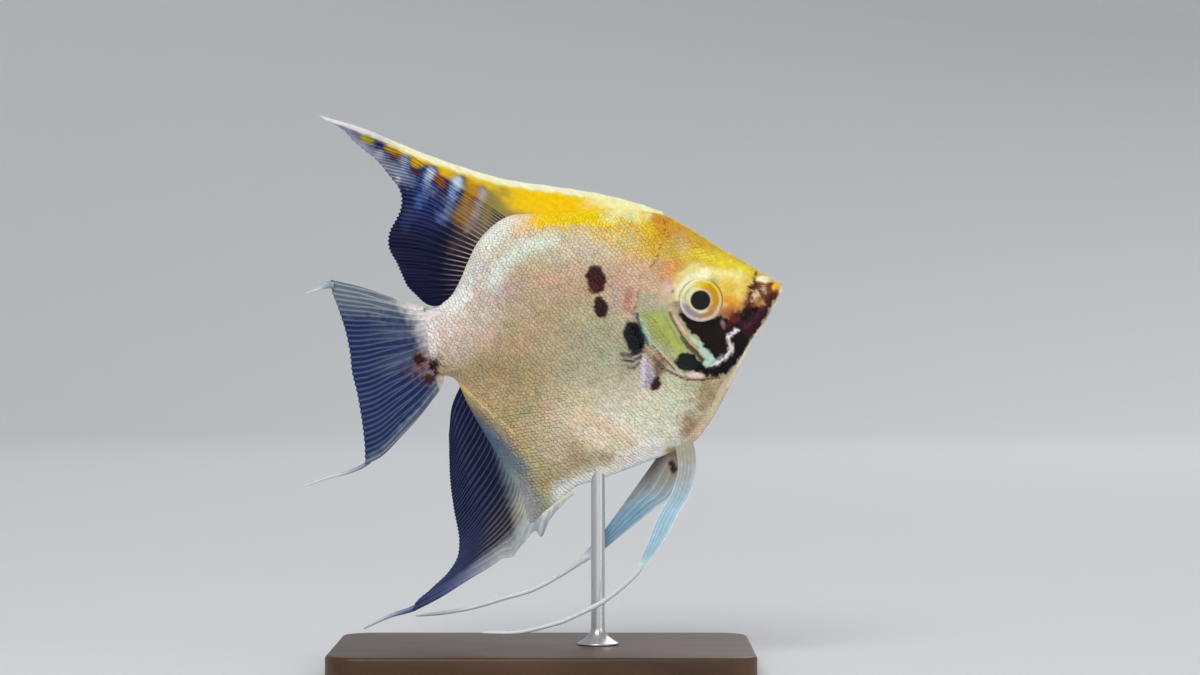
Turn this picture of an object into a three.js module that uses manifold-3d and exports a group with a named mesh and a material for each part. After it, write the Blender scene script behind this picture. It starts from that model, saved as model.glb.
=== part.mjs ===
// A marble angelfish (Pterophyllum scalare) as a still, life-size model on a display stand.
//
// Millimetres. World frame: +X towards the head, +Y to the fish's left, +Z up, origin under the
// middle of the whole model on the surface that the stand rests on. The fish is laid out in its own
// frame, x forward along the body axis from the root of the tail and z up, and its group is then
// pitched nose-up and lifted onto the rod.

import * as THREE from 'three';
import { mergeVertices } from 'three/addons/utils/BufferGeometryUtils.js';
import Module from 'manifold-3d';

const wasm = await Module();
wasm.setup();

// ---------------------------------------------------------------- driving dimensions

const PITCH = THREE.MathUtils.degToRad(9); // nose-up swimming pose
const FISH_X = -23.5; // root of the tail, ahead of or behind the stand's middle
const FISH_Z = 69.85; // root of the tail above the floor
const GAP = 0.3; // clearance that neighbouring pieces keep

const HALF_WIDTH = 6.4; // half the body's breadth at the shoulder
const SHOULDER_X = 45;
const TAIL_THINNING = 3; // how much narrower the half width is at the tail
const SNOUT_X = 76;
const SNOUT_THINNING = 3.2; // and at the snout
const BACK_REACH = 26; // height over the axis at which the flank has lost half its width
const BELLY_REACH = 36; // and depth under the axis
const EDGE_POWER = 4; // how close to its outline the body starts to round over
const EDGE_ROUNDING = 0.62;
const SHEATH_LENGTH = 11; // reach of the thin scaly sheath below the hind edge of the flank
const SHEATH_THINNING = 0.5;

const EYE = { x: 58.2, z: 0.1, radius: 5.1, depth: 1.9, sunk: 1.25 };
const GILL_PLATE = { raise: 0.35, depth: 0.9 };
const LIP_RADIUS = 0.55;
const NOSTRIL = { x: 69.0, z: 2.6, radius: 0.5, depth: 0.5 };

const MEMBRANE = 0.27; // half the thickness of a fin's membrane
const RIDGE = 0.2; // height of a fin ray over the membrane on each face
const SPINE_FOOT = 0.3; // half the width of a spine's foot, as a share of the spacing
const RAY_FOOT = 0.5; // soft rays stand foot to foot
const WHIP_DEPTH = 0.6; // thickness of a filament from side to side at its root

const STAND = { length: 90, width: 60, height: 5, corner: 7, bevel: 0.8 };
const ROD = { radius: 1.5, footRadius: 4.5, footHeight: 1.6, bodyX: 31.0 };

// ---------------------------------------------------------------- colours

const CREAM = { color: 0xd9cbaa, roughness: 0.45 };
const LEMON = { color: 0xe3c545, roughness: 0.4 };
const OPERCLE = { color: 0xaeb58a, roughness: 0.35 };
const DARK_LIP = { color: 0x5a3026, roughness: 0.45 };
const IRIS = { color: 0xd8b030, roughness: 0.15 };
const GOLD_FIN = { color: 0xd9a83a, roughness: 0.5 };
const NAVY_FIN = { color: 0x33406b, roughness: 0.5 };
const SLATE_FIN = { color: 0x53658c, roughness: 0.5 };
const PALE_FILAMENT = { color: 0xd8e6ec, roughness: 0.5 };
const CLEAR_FIN = { color: 0xcfc8d6, roughness: 0.4 };
const DARK_WOOD = { color: 0x2c211b, roughness: 0.5 };
const STEEL = { color: 0xb9bcc0, roughness: 0.3, metalness: 1 };

// ---------------------------------------------------------------- points, curves and solids

/** A point of the fish: x forward, z up, y to its left. */
const at = (x, z, y = 0) => new THREE.Vector3(x, y, z);

/** A smooth curve through the given points. */
const through = (...points) => new THREE.CatmullRomCurve3(points, false, 'centripetal');

/** Signed volume enclosed by a triangle mesh, positive when its faces point outwards. */
function signedVolume(positions, triangles) {
  let volume = 0;
  const corner = (i) => new THREE.Vector3().fromArray(positions, triangles[i] * 3);
  for (let i = 0; i < triangles.length; i += 3) {
    volume += corner(i).dot(corner(i + 1).cross(corner(i + 2))) / 6;
  }
  return volume;
}

/** A solid from flat arrays of coordinates and triangle corners, turned to face outwards. */
function solidFrom(positions, triangles) {
  if (signedVolume(positions, triangles) < 0) {
    triangles.reverse();
  }
  return new wasm.Manifold(new wasm.Mesh({
    numProp: 3,
    vertProperties: new Float32Array(positions),
    triVerts: new Uint32Array(triangles),
  }));
}

/** A solid from a closed three.js geometry. */
function solidOf(geometry) {
  const bare = geometry.clone();
  bare.deleteAttribute('normal');
  bare.deleteAttribute('uv');
  const merged = mergeVertices(bare, 1e-4);
  return solidFrom(Array.from(merged.attributes.position.array), Array.from(merged.index.array));
}

/** The largest closed surface of a solid, without the loose scraps that a cut may leave. */
function largest(solid) {
  const pieces = solid.decompose();
  pieces.sort((a, b) => b.volume() - a.volume());
  return pieces[0];
}

/** A prism across the whole fish, or from y0 to y1, over an outline in the side view. */
function prism(outline, y0 = -20, y1 = 20) {
  const shape = new THREE.Shape(outline.map((p) => new THREE.Vector2(p.x, p.z)));
  const geometry = new THREE.ExtrudeGeometry(shape, { depth: y1 - y0, bevelEnabled: false });
  geometry.rotateX(Math.PI / 2);
  geometry.translate(0, y1, 0);
  return solidOf(geometry);
}

/** A thin upright wall, GAP wide, along a line of points in the side view: a cut between pieces. */
function cutAlong(points) {
  const left = [];
  const right = [];
  points.forEach((p, i) => {
    const before = points[Math.max(0, i - 1)];
    const after = points[Math.min(points.length - 1, i + 1)];
    const along = after.clone().sub(before).setLength(GAP / 2);
    left.push(at(p.x - along.z, p.z + along.x));
    right.push(at(p.x + along.z, p.z - along.x));
  });
  return prism([...left, ...right.reverse()]);
}

// ---------------------------------------------------------------- outline of the body

const HUB = at(35, -3); // middle of the disc-shaped body
const NAPE = at(53.8, 19.2);
const PELVIC_ROOT = at(51.6, -30);
const SHEATH_TIP = at(14.4, -41.6);
const BELLY_CORNER = at(25.6, -35.3);

/** The side outline, anticlockwise from the tip of the lower jaw. */
const BODY_OUTLINE = [
  // tip of the lower jaw, the notch of the mouth and the upper lip
  at(76.1, 0.2), at(75.6, 1.4), at(74.5, 1.6), at(73.9, 2.9), at(72.9, 3.7), at(71.8, 3.8),
  // step behind the lip, forehead and nape
  at(71.2, 4.8), at(68.2, 7.4), at(64.3, 10.5), at(60.6, 13.9), at(56.7, 17.1), NAPE,
  // back under the spiny dorsal fin
  at(48.6, 21.1), at(42.3, 22.5), at(33.5, 23.4), at(25.6, 24.2),
  // root of the soft dorsal fin, down to the tail stem
  at(20.2, 24.5), at(16.5, 23), at(12.7, 20), at(9.9, 16.1), at(7.4, 12.1), at(4.9, 9.2),
  // tail stem and the root of the tail fin
  at(1.9, 7.8), at(-0.6, 7), at(-1.3, 3.5), at(-1.3, -3), at(-0.7, -6.3), at(1.4, -7.3),
  // hind edge of the scaly sheath over the anal fin, and its lower edge
  at(3.3, -8.4), at(5, -13.8), at(7.3, -20.1), at(11.2, -29.4), at(13.4, -36.3), SHEATH_TIP,
  at(17.5, -39.8), at(21.5, -37.4), BELLY_CORNER,
  // belly, pelvic roots and throat
  at(31.1, -34.5), at(40.1, -32.7), at(46.8, -31.3), PELVIC_ROOT, at(56.4, -25.8),
  at(61.9, -18.7), at(67.5, -11.1), at(72.8, -4.9), at(75, -2.1),
];

const TURN = 2 * Math.PI;

/** Angle of a point about the hub, from 0 to a full turn. */
const angleAt = (x, z) => (Math.atan2(z - HUB.z, x - HUB.x) + TURN) % TURN;

/** Samples of the outline as angle and radius about the hub, in order of angle. */
const OUTLINE_SAMPLES = new THREE.CatmullRomCurve3(BODY_OUTLINE, true, 'centripetal')
  .getPoints(BODY_OUTLINE.length * 12)
  .map((p) => ({ angle: angleAt(p.x, p.z), radius: Math.hypot(p.x - HUB.x, p.z - HUB.z) }))
  .sort((a, b) => a.angle - b.angle);

/** Distance from the hub to the outline at an angle, read between the nearest two samples. */
function outlineRadius(angle) {
  const next = OUTLINE_SAMPLES.findIndex((s) => s.angle > angle);
  const count = OUTLINE_SAMPLES.length;
  const b = OUTLINE_SAMPLES[next === -1 ? 0 : next];
  const a = OUTLINE_SAMPLES[(next === -1 ? count : next + count) - 1 - (next > 0 ? count : 0)];
  const span = (b.angle - a.angle + TURN) % TURN || 1;
  const share = ((angle - a.angle + TURN) % TURN) / span;
  return a.radius + (b.radius - a.radius) * Math.min(1, share);
}

// ---------------------------------------------------------------- thickness of the body

/** Half breadth of the body at its axis, at a distance along it. */
function halfWidth(x) {
  const back = Math.max(0, SHOULDER_X - x) / SHOULDER_X;
  const ahead = Math.max(0, x - SHOULDER_X) / (SNOUT_X - SHOULDER_X);
  return HALF_WIDTH - TAIL_THINNING * back ** 2 - SNOUT_THINNING * ahead ** 1.5;
}

/** Share of the thickness left on the sheath behind the line from the tail stem to the belly. */
function sheathShare(x, z) {
  const stem = at(4, -8);
  const along = BELLY_CORNER.clone().sub(stem).normalize();
  const beyond = -((x - stem.x) * -along.z + (z - stem.z) * along.x);
  return 1 - SHEATH_THINNING * THREE.MathUtils.smoothstep(beyond, 0, SHEATH_LENGTH);
}

/** Half thickness of the body at a point of the side view. */
function halfThickness(x, z) {
  const reach = Math.hypot(x - HUB.x, z - HUB.z) / outlineRadius(angleAt(x, z));
  const edge = (1 - Math.min(1, reach) ** EDGE_POWER) ** EDGE_ROUNDING;
  const flank = 1 - 0.5 * (z / (z > 0 ? BACK_REACH : BELLY_REACH)) ** 2;
  return halfWidth(x) * flank * edge * sheathShare(x, z);
}

/** Angles of the body's spokes: finest at the mouth, fine on the head, wider behind. */
function spokeAngles() {
  const angles = [];
  for (let degrees = -150; degrees < 210;) {
    angles.push(THREE.MathUtils.degToRad(degrees));
    const mouth = degrees >= -6 && degrees < 13;
    const head = degrees >= -36 && degrees < 36;
    degrees += mouth ? 1.25 : head ? 3 : 4.8;
  }
  return angles;
}

const RINGS = [0.28, 0.52, 0.7, 0.83, 0.92, 0.97, 0.993];

/**
 * A closed form of rings about the hub on both flanks, from the rings' shares of the way to the
 * outline and the spokes' angles. place(share, angle) gives a point of the left flank, and the last
 * ring, of share 1, is the edge where both flanks meet.
 */
function pillow(rings, spokes, place) {
  const points = [place(0, 0), place(0, 0).multiply(new THREE.Vector3(1, -1, 1))];
  for (const ring of rings) {
    for (const side of [1, -1]) {
      spokes.forEach((angle) => points.push(place(ring, angle).multiply(at(1, 1, side))));
    }
  }
  spokes.forEach((angle) => points.push(place(1, angle).setY(0)));
  const count = spokes.length;
  const index = (ring, side, i) => {
    const row = ring === rings.length ? 2 * ring : 2 * ring + side;
    return 2 + row * count + (i % count);
  };
  const triangles = [];
  for (let i = 0; i < count; i += 1) {
    for (const side of [0, 1]) {
      const face = (a, b, c) => triangles.push(...(side === 0 ? [a, c, b] : [a, b, c]));
      face(side, index(0, side, i), index(0, side, i + 1));
      for (let ring = 0; ring < rings.length; ring += 1) {
        face(index(ring, side, i), index(ring + 1, side, i), index(ring + 1, side, i + 1));
        face(index(ring, side, i), index(ring + 1, side, i + 1), index(ring, side, i + 1));
      }
    }
  }
  return solidFrom(points.flatMap((p) => p.toArray()), triangles);
}

/** A point at a share of the way from the hub to an outline moved out by a distance. */
function spoke(share, angle, out = 0) {
  const radius = (outlineRadius((angle + TURN) % TURN) + out) * share;
  return at(HUB.x + Math.cos(angle) * radius, HUB.z + Math.sin(angle) * radius);
}

/** The body, or with a growth the room around it. */
function bodySolid(growth = 0) {
  return pillow(RINGS, spokeAngles(), (share, angle) => {
    const under = spoke(share, angle);
    const round = growth * (1 - share ** 16) ** 0.5;
    return spoke(share, angle, growth).setY(halfThickness(under.x, under.z) + round);
  });
}

/** The body's core, deeper than its skin by a distance, where the gill covers lie over it. */
function bodyCore(depth) {
  const spokes = Array.from({ length: 40 }, (_, i) => (i * TURN) / 40);
  return pillow([0.3, 0.6, 0.8, 0.93], spokes, (share, angle) => {
    const point = spoke(share, angle, -2.5 * depth);
    const inner = Math.max(0.1, halfThickness(point.x, point.z) - depth);
    return point.setY(inner * (1 - share ** 16) ** 0.5);
  });
}

// ---------------------------------------------------------------- where the body is parted

/** Hind and lower edge of the gill cover, from its upper corner to the throat. */
const GILL_EDGE = through(
  at(50.4, 10.6), at(47.4, 7.2), at(44.6, 2.3), at(43.1, -2.9), at(44, -7.8), at(47.6, -12.8),
  at(53.5, -16.5), at(59.2, -16.8),
).getPoints(14);

/** Front edge of the gill cover, from the throat up along the cheek to the upper corner. */
const CHEEK_EDGE = through(
  at(59.2, -16.8), at(60, -13), at(57, -8.6), at(53.6, -3.9), at(51.9, 0.5), at(51.6, 5.5),
  at(50.4, 10.6),
).getPoints(10);

const HEAD_CUT = [at(55.2, 24), at(53, 16), ...GILL_EDGE, at(64.6, -15), at(70, -12.5)];
const GILL_OUTLINE = [...GILL_EDGE, ...CHEEK_EDGE.slice(1, -1)];

const MOUTH_NOTCH = at(74.4, 1.8);
const MOUTH_CORNER = at(70.4, -2.4);
const MOUTH_CUT = [at(78, 8), MOUTH_NOTCH, MOUTH_CORNER, at(68.9, -5.4), at(67.3, -14)];
const LIP_CUT = [MOUTH_CORNER, at(69.9, -0.4), at(71.2, 3.4), at(71, 8)];
const TAIL_STEM_CUT = through(at(8, 18), at(6, 4), at(5.2, -4), at(3, -16)).getPoints(8);

/** A lens about the fish's side-to-side axis, for an eye, its socket or a nostril. */
function lens(centre, radius, depth, segments, rows) {
  const sphere = new THREE.SphereGeometry(1, segments, rows);
  sphere.scale(radius, depth, radius);
  sphere.translate(centre.x, centre.y, centre.z);
  return solidOf(sphere);
}

/** The point of the body's surface over a point of the side view, moved out by a distance. */
const onFlank = (x, z, side, out = 0) => at(x, z, side * (halfThickness(x, z) + out));

/** An eye, or with a growth its socket. */
function eyeball(side, growth) {
  const centre = onFlank(EYE.x, EYE.z, side, -EYE.sunk);
  return lens(centre, EYE.radius + growth, EYE.depth + growth, 20, 8);
}

/** A rolled lip: a round bar round the front of the mouth, given by its path down one side. */
function lip(...path) {
  const other = path.map((p) => at(p.x, p.z, -p.y)).reverse();
  const ring = new THREE.Shape().absarc(0, 0, LIP_RADIUS, 0, TURN);
  return solidOf(new THREE.ExtrudeGeometry(ring, {
    steps: 14,
    extrudePath: through(...other.slice(0, -1), ...path),
    curveSegments: 3,
    bevelEnabled: false,
  }));
}

/** The piece of a parted solid that holds a point. */
function pieceAt(pieces, point) {
  const probe = lens(point, 0.4, 0.4, 6, 4);
  return pieces.find((piece) => piece.intersect(probe).volume() > 0);
}

/** The body of flesh, parted by thin cuts: raised gill covers, jaws, head, trunk and tail stem. */
function partBody() {
  const gillPrism = prism(GILL_OUTLINE);
  const core = bodyCore(GILL_PLATE.depth + GAP);
  const gillBack = bodyCore(GILL_PLATE.depth).subtract(core).intersect(gillPrism);
  let flesh = bodySolid().add(bodySolid(GILL_PLATE.raise).intersect(gillPrism));
  flesh = flesh
    .add(lip(at(74.1, 2.5), onFlank(73.4, 2, 1), onFlank(71.9, 0.5, 1), onFlank(70.1, -1.5, 1)))
    .add(lip(at(75.6, 0.9), onFlank(74.7, 0.2, 1), onFlank(73, -1.4, 1), onFlank(71.2, -3.4, 1)));
  flesh = flesh.subtract(cutAlong(CHEEK_EDGE).subtract(core)).subtract(gillBack);
  for (const line of [HEAD_CUT, MOUTH_CUT, LIP_CUT, TAIL_STEM_CUT]) {
    flesh = flesh.subtract(cutAlong(line));
  }
  for (const side of [-1, 1]) {
    flesh = flesh.subtract(eyeball(side, GAP));
    const nostril = onFlank(NOSTRIL.x, NOSTRIL.z, side);
    flesh = flesh.subtract(lens(nostril, NOSTRIL.radius, NOSTRIL.depth, 8, 6));
  }
  const pieces = flesh.decompose();
  return {
    head: pieceAt(pieces, at(63, 0)),
    upper_jaw: pieceAt(pieces, at(72, 1.6)),
    lower_jaw: pieceAt(pieces, at(72.6, -2.4)),
    gill_cover_left: pieceAt(pieces, onFlank(48, -3, 1, -0.3)),
    gill_cover_right: pieceAt(pieces, onFlank(48, -3, -1, -0.3)),
    trunk: pieceAt(pieces, at(30, 0)),
    caudal_peduncle: pieceAt(pieces, at(3, 0)),
  };
}

// ---------------------------------------------------------------- fins

const mix = THREE.MathUtils.lerp;

/**
 * The middle surface of a fin stretched between four edges: its root, its free tips, its leading
 * ray and its last ray. Each runs from the lead, or from the root. The powers crowd the rays
 * towards the lead where they are over 1.
 */
function stretched({ root, tips, lead, last, rootPower = 1, tipPower = 1, sway = () => 0 }) {
  return (u, v) => {
    const point = root.getPointAt(u ** rootPower).lerp(tips.getPointAt(u ** tipPower), v);
    const leadChord = root.getPointAt(0).lerp(tips.getPointAt(0), v);
    const lastChord = root.getPointAt(1).lerp(tips.getPointAt(1), v);
    point.addScaledVector(lead.getPointAt(v).sub(leadChord), 1 - u);
    point.addScaledVector(last.getPointAt(v).sub(lastChord), u);
    point.y += sway(u, v);
    return point;
  };
}

/** Unit normal of a middle surface, from its slopes along and across the rays. */
function normalOf(place, u, v) {
  const e = 0.002;
  const across = place(Math.min(1, u + e), v).sub(place(Math.max(0, u - e), v));
  const along = place(u, Math.min(1, v + e)).sub(place(u, Math.max(0, v - e)));
  return across.cross(along).normalize();
}

/**
 * A fin as a plate on a grid of rays by steps. Every ray has a foot on either side and a crest
 * between them, so that it stands up as a ridge in both faces, which share one grid of triangles.
 * A notch cuts the membrane back between the tips by that many millimetres.
 */
function fin({ place, rays, steps, foot = RAY_FOOT, notch = 0 }) {
  const columns = [];
  for (let i = 0; i < rays; i += 1) {
    columns.push({ u: i / (rays - 1), crest: 1 });
    const feet = foot === 0.5 ? [0.5] : [foot, 1 - foot];
    if (i < rays - 1) {
      feet.forEach((share) => columns.push({ u: (i + share) / (rays - 1), crest: 0 }));
    }
  }
  const rows = steps + 1;
  const positions = [];
  for (const face of [1, -1]) {
    for (let j = 0; j < rows; j += 1) {
      for (const { u, crest } of columns) {
        const cut = crest ? 0 : notch / place(u, 0).distanceTo(place(u, 1));
        const v = (j / steps) * (1 - cut);
        const taper = 1 - 0.35 * (j / steps) ** 2;
        const half = (MEMBRANE + RIDGE * crest * (1 - 0.5 * v)) * taper;
        const point = place(u, v).addScaledVector(normalOf(place, u, v), face * half);
        positions.push(point.x, point.y, point.z);
      }
    }
  }
  const wide = columns.length;
  const index = (face, j, i) => (face * rows + j) * wide + i;
  const triangles = [];
  const quad = (a, b, c, d) => triangles.push(a, b, c, a, c, d);
  for (let j = 0; j < steps; j += 1) {
    for (let i = 0; i < wide - 1; i += 1) {
      const corners = (face) => [
        index(face, j, i), index(face, j, i + 1), index(face, j + 1, i + 1), index(face, j + 1, i),
      ];
      const [a, b, c, d] = corners(0);
      const [e, f, g, h] = corners(1);
      triangles.push(a, b, c, a, c, d);
      triangles.push(e, g, f, e, h, g);
    }
    quad(index(0, j, 0), index(0, j + 1, 0), index(1, j + 1, 0), index(1, j, 0));
    const end = wide - 1;
    quad(index(0, j + 1, end), index(0, j, end), index(1, j, end), index(1, j + 1, end));
  }
  for (let i = 0; i < wide - 1; i += 1) {
    quad(index(0, 0, i + 1), index(0, 0, i), index(1, 0, i), index(1, 0, i + 1));
    quad(index(0, steps, i), index(0, steps, i + 1), index(1, steps, i + 1), index(1, steps, i));
  }
  return solidFrom(positions, triangles);
}

/** A filament: a flattened tube along a curve that tapers from its root to its end. */
function filament(curve, steps, rootWidth, endWidth) {
  const sides = 6;
  const positions = [];
  const triangles = [];
  for (let j = 0; j <= steps; j += 1) {
    const t = j / steps;
    const centre = curve.getPointAt(t);
    const along = curve.getTangentAt(t);
    const across = at(-along.z, along.x).normalize();
    const out = across.clone().cross(along).normalize();
    for (let i = 0; i < sides; i += 1) {
      const turn = (TURN * i) / sides;
      const point = centre.clone()
        .addScaledVector(across, Math.cos(turn) * 0.5 * mix(rootWidth, endWidth, t ** 0.8))
        .addScaledVector(out, Math.sin(turn) * 0.5 * mix(WHIP_DEPTH, endWidth, t ** 2));
      positions.push(point.x, point.y, point.z);
    }
  }
  for (let j = 0; j < steps; j += 1) {
    for (let i = 0; i < sides; i += 1) {
      const k = (i + 1) % sides;
      const [a, b, c, d] = [j * sides + i, j * sides + k, (j + 1) * sides + k, (j + 1) * sides + i];
      triangles.push(a, b, c, a, c, d);
    }
  }
  const last = steps * sides;
  for (let i = 1; i < sides - 1; i += 1) {
    triangles.push(0, i + 1, i);
    triangles.push(last, last + i, last + i + 1);
  }
  return solidFrom(positions, triangles);
}

// The dorsal fin: twelve spines laid back along the edge, then the sail of soft rays.

const DORSAL_SPINES = 12;
const DORSAL_MARGIN = through(
  at(54.6, 19.3), at(48.8, 22.5), at(40.7, 26), at(30.3, 29.4), at(21, 32.3), at(11.9, 36.5),
  at(4, 40.8), at(-4.6, 46.1),
);
const DORSAL_SPINE_ROOT = through(at(53.6, 17.8), at(42, 21), at(31, 21.9), at(20.9, 23.2));

const spinyDorsal = (u, v) => {
  const tip = DORSAL_MARGIN.getPointAt(mix(0.03, 1, u ** 1.12));
  return DORSAL_SPINE_ROOT.getPointAt(u).lerp(tip, v);
};

/** A point beside the last dorsal spine, where the front edge of the sail lies along it. */
function besideLastSpine(v) {
  const along = spinyDorsal(1, 1).sub(spinyDorsal(1, 0)).setLength(GAP);
  return spinyDorsal(1, v).add(at(-along.z, along.x));
}

const softDorsal = stretched({
  root: through(
    besideLastSpine(0), at(16.4, 21.6), at(13.4, 18.8), at(10.9, 15.2), at(8.5, 11.2), at(6.4, 8),
  ),
  lead: through(besideLastSpine(0), besideLastSpine(0.5), besideLastSpine(1), at(-16.5, 52.7)),
  tips: through(
    at(-16.5, 52.7), at(-12.3, 48.5), at(-10.2, 45.4), at(-6.5, 41.3), at(-4.3, 37.7),
    at(-2.2, 33.2), at(-2.9, 29.4), at(-5.9, 25), at(-6.4, 21.8), at(-5, 18.4),
    at(-3.7, 15.2), at(-0.5, 10.8),
  ),
  last: through(at(6.4, 8), at(2.9, 8.9), at(-0.5, 10.8)),
  rootPower: 1.15,
  tipPower: 0.72,
  sway: (u, v) => 1.6 * v ** 2 * Math.sin(4.4 * u),
});

// The anal fin: six spines under the sheath, then the soft rays, then the drawn-out tip.

const ANAL_SPINES = 6;
const ANAL_MARGIN = through(
  at(24.6, -37), at(21.4, -39.9), at(19, -42.2), at(16.6, -44.9), at(12.8, -46.3), at(9.9, -48.3),
);
const ANAL_SPINE_ROOT = through(at(25, -34.2), at(21, -36), at(17.4, -38), at(14.9, -39.8));

const spinyAnal = (u, v) => ANAL_SPINE_ROOT.getPointAt(u).lerp(ANAL_MARGIN.getPointAt(u), v);

const softAnal = stretched({
  root: through(
    at(14.6, -38.4), at(14.2, -35.4), at(12.2, -29.2), at(8.4, -19.8), at(6.2, -13.6), at(4.6, -9.4),
  ),
  lead: through(at(14.6, -38.4), at(12.4, -43), at(6.8, -47.9), at(0.2, -51), at(-6.9, -54.2),
    at(-13.5, -56.4)),
  tips: through(
    at(-13.5, -56.4), at(-12.8, -54.7), at(-9.2, -52.3), at(-4.8, -49.3), at(-2.3, -46.4),
    at(-1.3, -42.7), at(-1.4, -36.1), at(-1.2, -29.6), at(0.1, -20),
  ),
  last: through(at(4.6, -9.4), at(1.9, -13.8), at(0.1, -20)),
  tipPower: 0.85,
  sway: (u, v) => -1.4 * v ** 2 * Math.sin(2.6 * v + 2 * u),
});

const softCaudal = stretched({
  root: through(at(1.2, 7), at(0.9, 0), at(1.6, -6)),
  lead: through(at(1.2, 7), at(-0.6, 8.1), at(-3.3, 9), at(-8.4, 11.7), at(-13.4, 14.3), at(-17.5, 16),
    at(-20, 17)),
  tips: through(
    at(-20, 17), at(-20, 14.3), at(-19.3, 10.7), at(-18.6, 6.2), at(-18.3, 1.4), at(-18.5, -3.4),
    at(-18.1, -8.5), at(-18, -15), at(-18.2, -19.6), at(-18.7, -23.6),
  ),
  last: through(at(1.6, -6), at(0.2, -9.6), at(-2.4, -12.3), at(-4.9, -14.7), at(-9.9, -18.7),
    at(-14.8, -22.3), at(-18.7, -23.6)),
  sway: (u, v) => 1.2 * v ** 2 * Math.sin(3.1 * u + 0.6),
});

/** The blade of a pelvic fin, with its ray tips drawn together where its filament starts. */
const rightPelvic = stretched({
  root: through(at(51.7, -28.8, -0.9), at(48.6, -29.6, -0.9)),
  lead: through(at(51.7, -28.8, -0.9), at(52.3, -33, -1.6), at(51.6, -37.8, -2.6),
    at(49.7, -40.9, -3.1), at(47.1, -43.5, -3.6), at(44.3, -47.1, -4.2), at(39.2, -52.7, -5),
    at(36.4, -55.2, -5.2)),
  tips: through(at(36.4, -55.2, -5.2), at(35.3, -54.5, -5.2)),
  last: through(at(48.6, -29.6, -0.9), at(48.9, -35, -1.8), at(46.7, -39.6, -2.6),
    at(42.6, -44.2, -3.6), at(38.4, -50.6, -4.8), at(35.3, -54.5, -5.2)),
});

const leftPelvic = stretched({
  root: through(at(50.6, -29, 0.9), at(45.6, -30.2, 0.9)),
  lead: through(at(50.6, -29, 0.9), at(49.2, -35.6, 1.9), at(45, -40.5, 2.9), at(41.3, -42.1, 3.4),
    at(33.4, -47.4, 4.5), at(28.6, -50.2, 5), at(24.5, -52.2, 5.2)),
  tips: through(at(24.5, -52.2, 5.2), at(24.1, -50.5, 5.2)),
  last: through(at(45.6, -30.2, 0.9), at(43.3, -33.5, 1.4), at(39.3, -37.6, 2.4),
    at(34.2, -42.2, 3.6), at(29.2, -46.4, 4.5), at(24.1, -50.5, 5.2)),
});

/** A pectoral fin: a clear fan that springs from behind the gill cover and stands off the flank. */
const pectoral = (side) => {
  const upperRoot = onFlank(44.4, -10.6, side, -1);
  const lowerRoot = onFlank(43.6, -15, side, -1);
  const upperTip = onFlank(30.6, -6.8, side, 4.2);
  const lowerTip = onFlank(35, -21.5, side, 4.4);
  return stretched({
    root: through(upperRoot, lowerRoot),
    lead: through(upperRoot, onFlank(38, -8, side, 2.2), upperTip),
    tips: through(upperTip, onFlank(28.2, -11.5, side, 4.6), onFlank(29.6, -17, side, 4.8), lowerTip),
    last: through(lowerRoot, onFlank(39.2, -18.6, side, 2), lowerTip),
  });
};

const WHIP = { root: 1.1, middle: 0.75, tip: 0.36 }; // width of a filament along its length
const WEDGE = 2.3; // width of the upper tail filament at its root

/** Each filament's steps, its width at its root and at its end, and its path. */
const FILAMENTS = {
  anal_fin_filament: [12, WHIP.root, WHIP.tip, through(at(-13.7, -55.8), at(-18.5, -56.5), at(-24.5, -58.3))],
  caudal_filament_upper: [7, WEDGE, WHIP.tip, through(at(-20.5, 15.9), at(-22.3, 16.2),
    at(-24.2, 15.7), at(-26, 14.7))],
  caudal_filament_lower: [10, WHIP.root, WHIP.tip, through(at(-19.3, -23.8), at(-22.8, -24.6),
    at(-27.3, -25.1), at(-32.2, -26))],
  pelvic_filament_right_1: [10, WHIP.root, WHIP.middle, through(at(35.4, -55.2, -5.2), at(31.7, -57.8, -5.5),
    at(27, -60.3, -5.6), at(18.2, -63, -5.4))],
  pelvic_filament_right_2: [10, WHIP.middle, WHIP.tip, through(at(17.9, -63.05, -5.4), at(9, -63.9, -4.8),
    at(0.5, -62.8, -4))],
  pelvic_filament_left_1: [10, WHIP.root, WHIP.middle, through(at(24, -51.6, 5.2), at(19.3, -53.7, 5.3),
    at(12.4, -56.1, 5.2), at(6, -56.9, 4.9))],
  pelvic_filament_left_2: [10, WHIP.middle, WHIP.tip, through(at(5.7, -56.95, 4.9), at(-0.9, -57.8, 4.4),
    at(-7.5, -57.9, 3.8), at(-13.4, -57.5, 3.2))],
};

// ---------------------------------------------------------------- the fish

const fish = new THREE.Group();
fish.rotation.y = -PITCH;
fish.position.set(FISH_X, 0, FISH_Z);
fish.updateMatrixWorld(true);

const model = new THREE.Group();
model.add(fish);

/** A named mesh of a solid in a group. */
function addPiece(group, name, solid, finish) {
  const mesh = solid.getMesh();
  const geometry = new THREE.BufferGeometry();
  geometry.setAttribute('position', new THREE.BufferAttribute(mesh.vertProperties, mesh.numProp));
  geometry.setIndex(new THREE.BufferAttribute(mesh.triVerts, 1));
  const piece = new THREE.Mesh(geometry, new THREE.MeshStandardMaterial(finish));
  piece.name = name;
  group.add(piece);
}

const FLESH_FINISH = {
  head: LEMON,
  upper_jaw: DARK_LIP,
  lower_jaw: DARK_LIP,
  gill_cover_left: OPERCLE,
  gill_cover_right: OPERCLE,
  trunk: CREAM,
  caudal_peduncle: CREAM,
};
for (const [name, solid] of Object.entries(partBody())) {
  addPiece(fish, name, largest(solid), FLESH_FINISH[name]);
}
for (const [name, side] of [['eye_left', 1], ['eye_right', -1]]) {
  addPiece(fish, name, eyeball(side, 0), IRIS);
}

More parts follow.
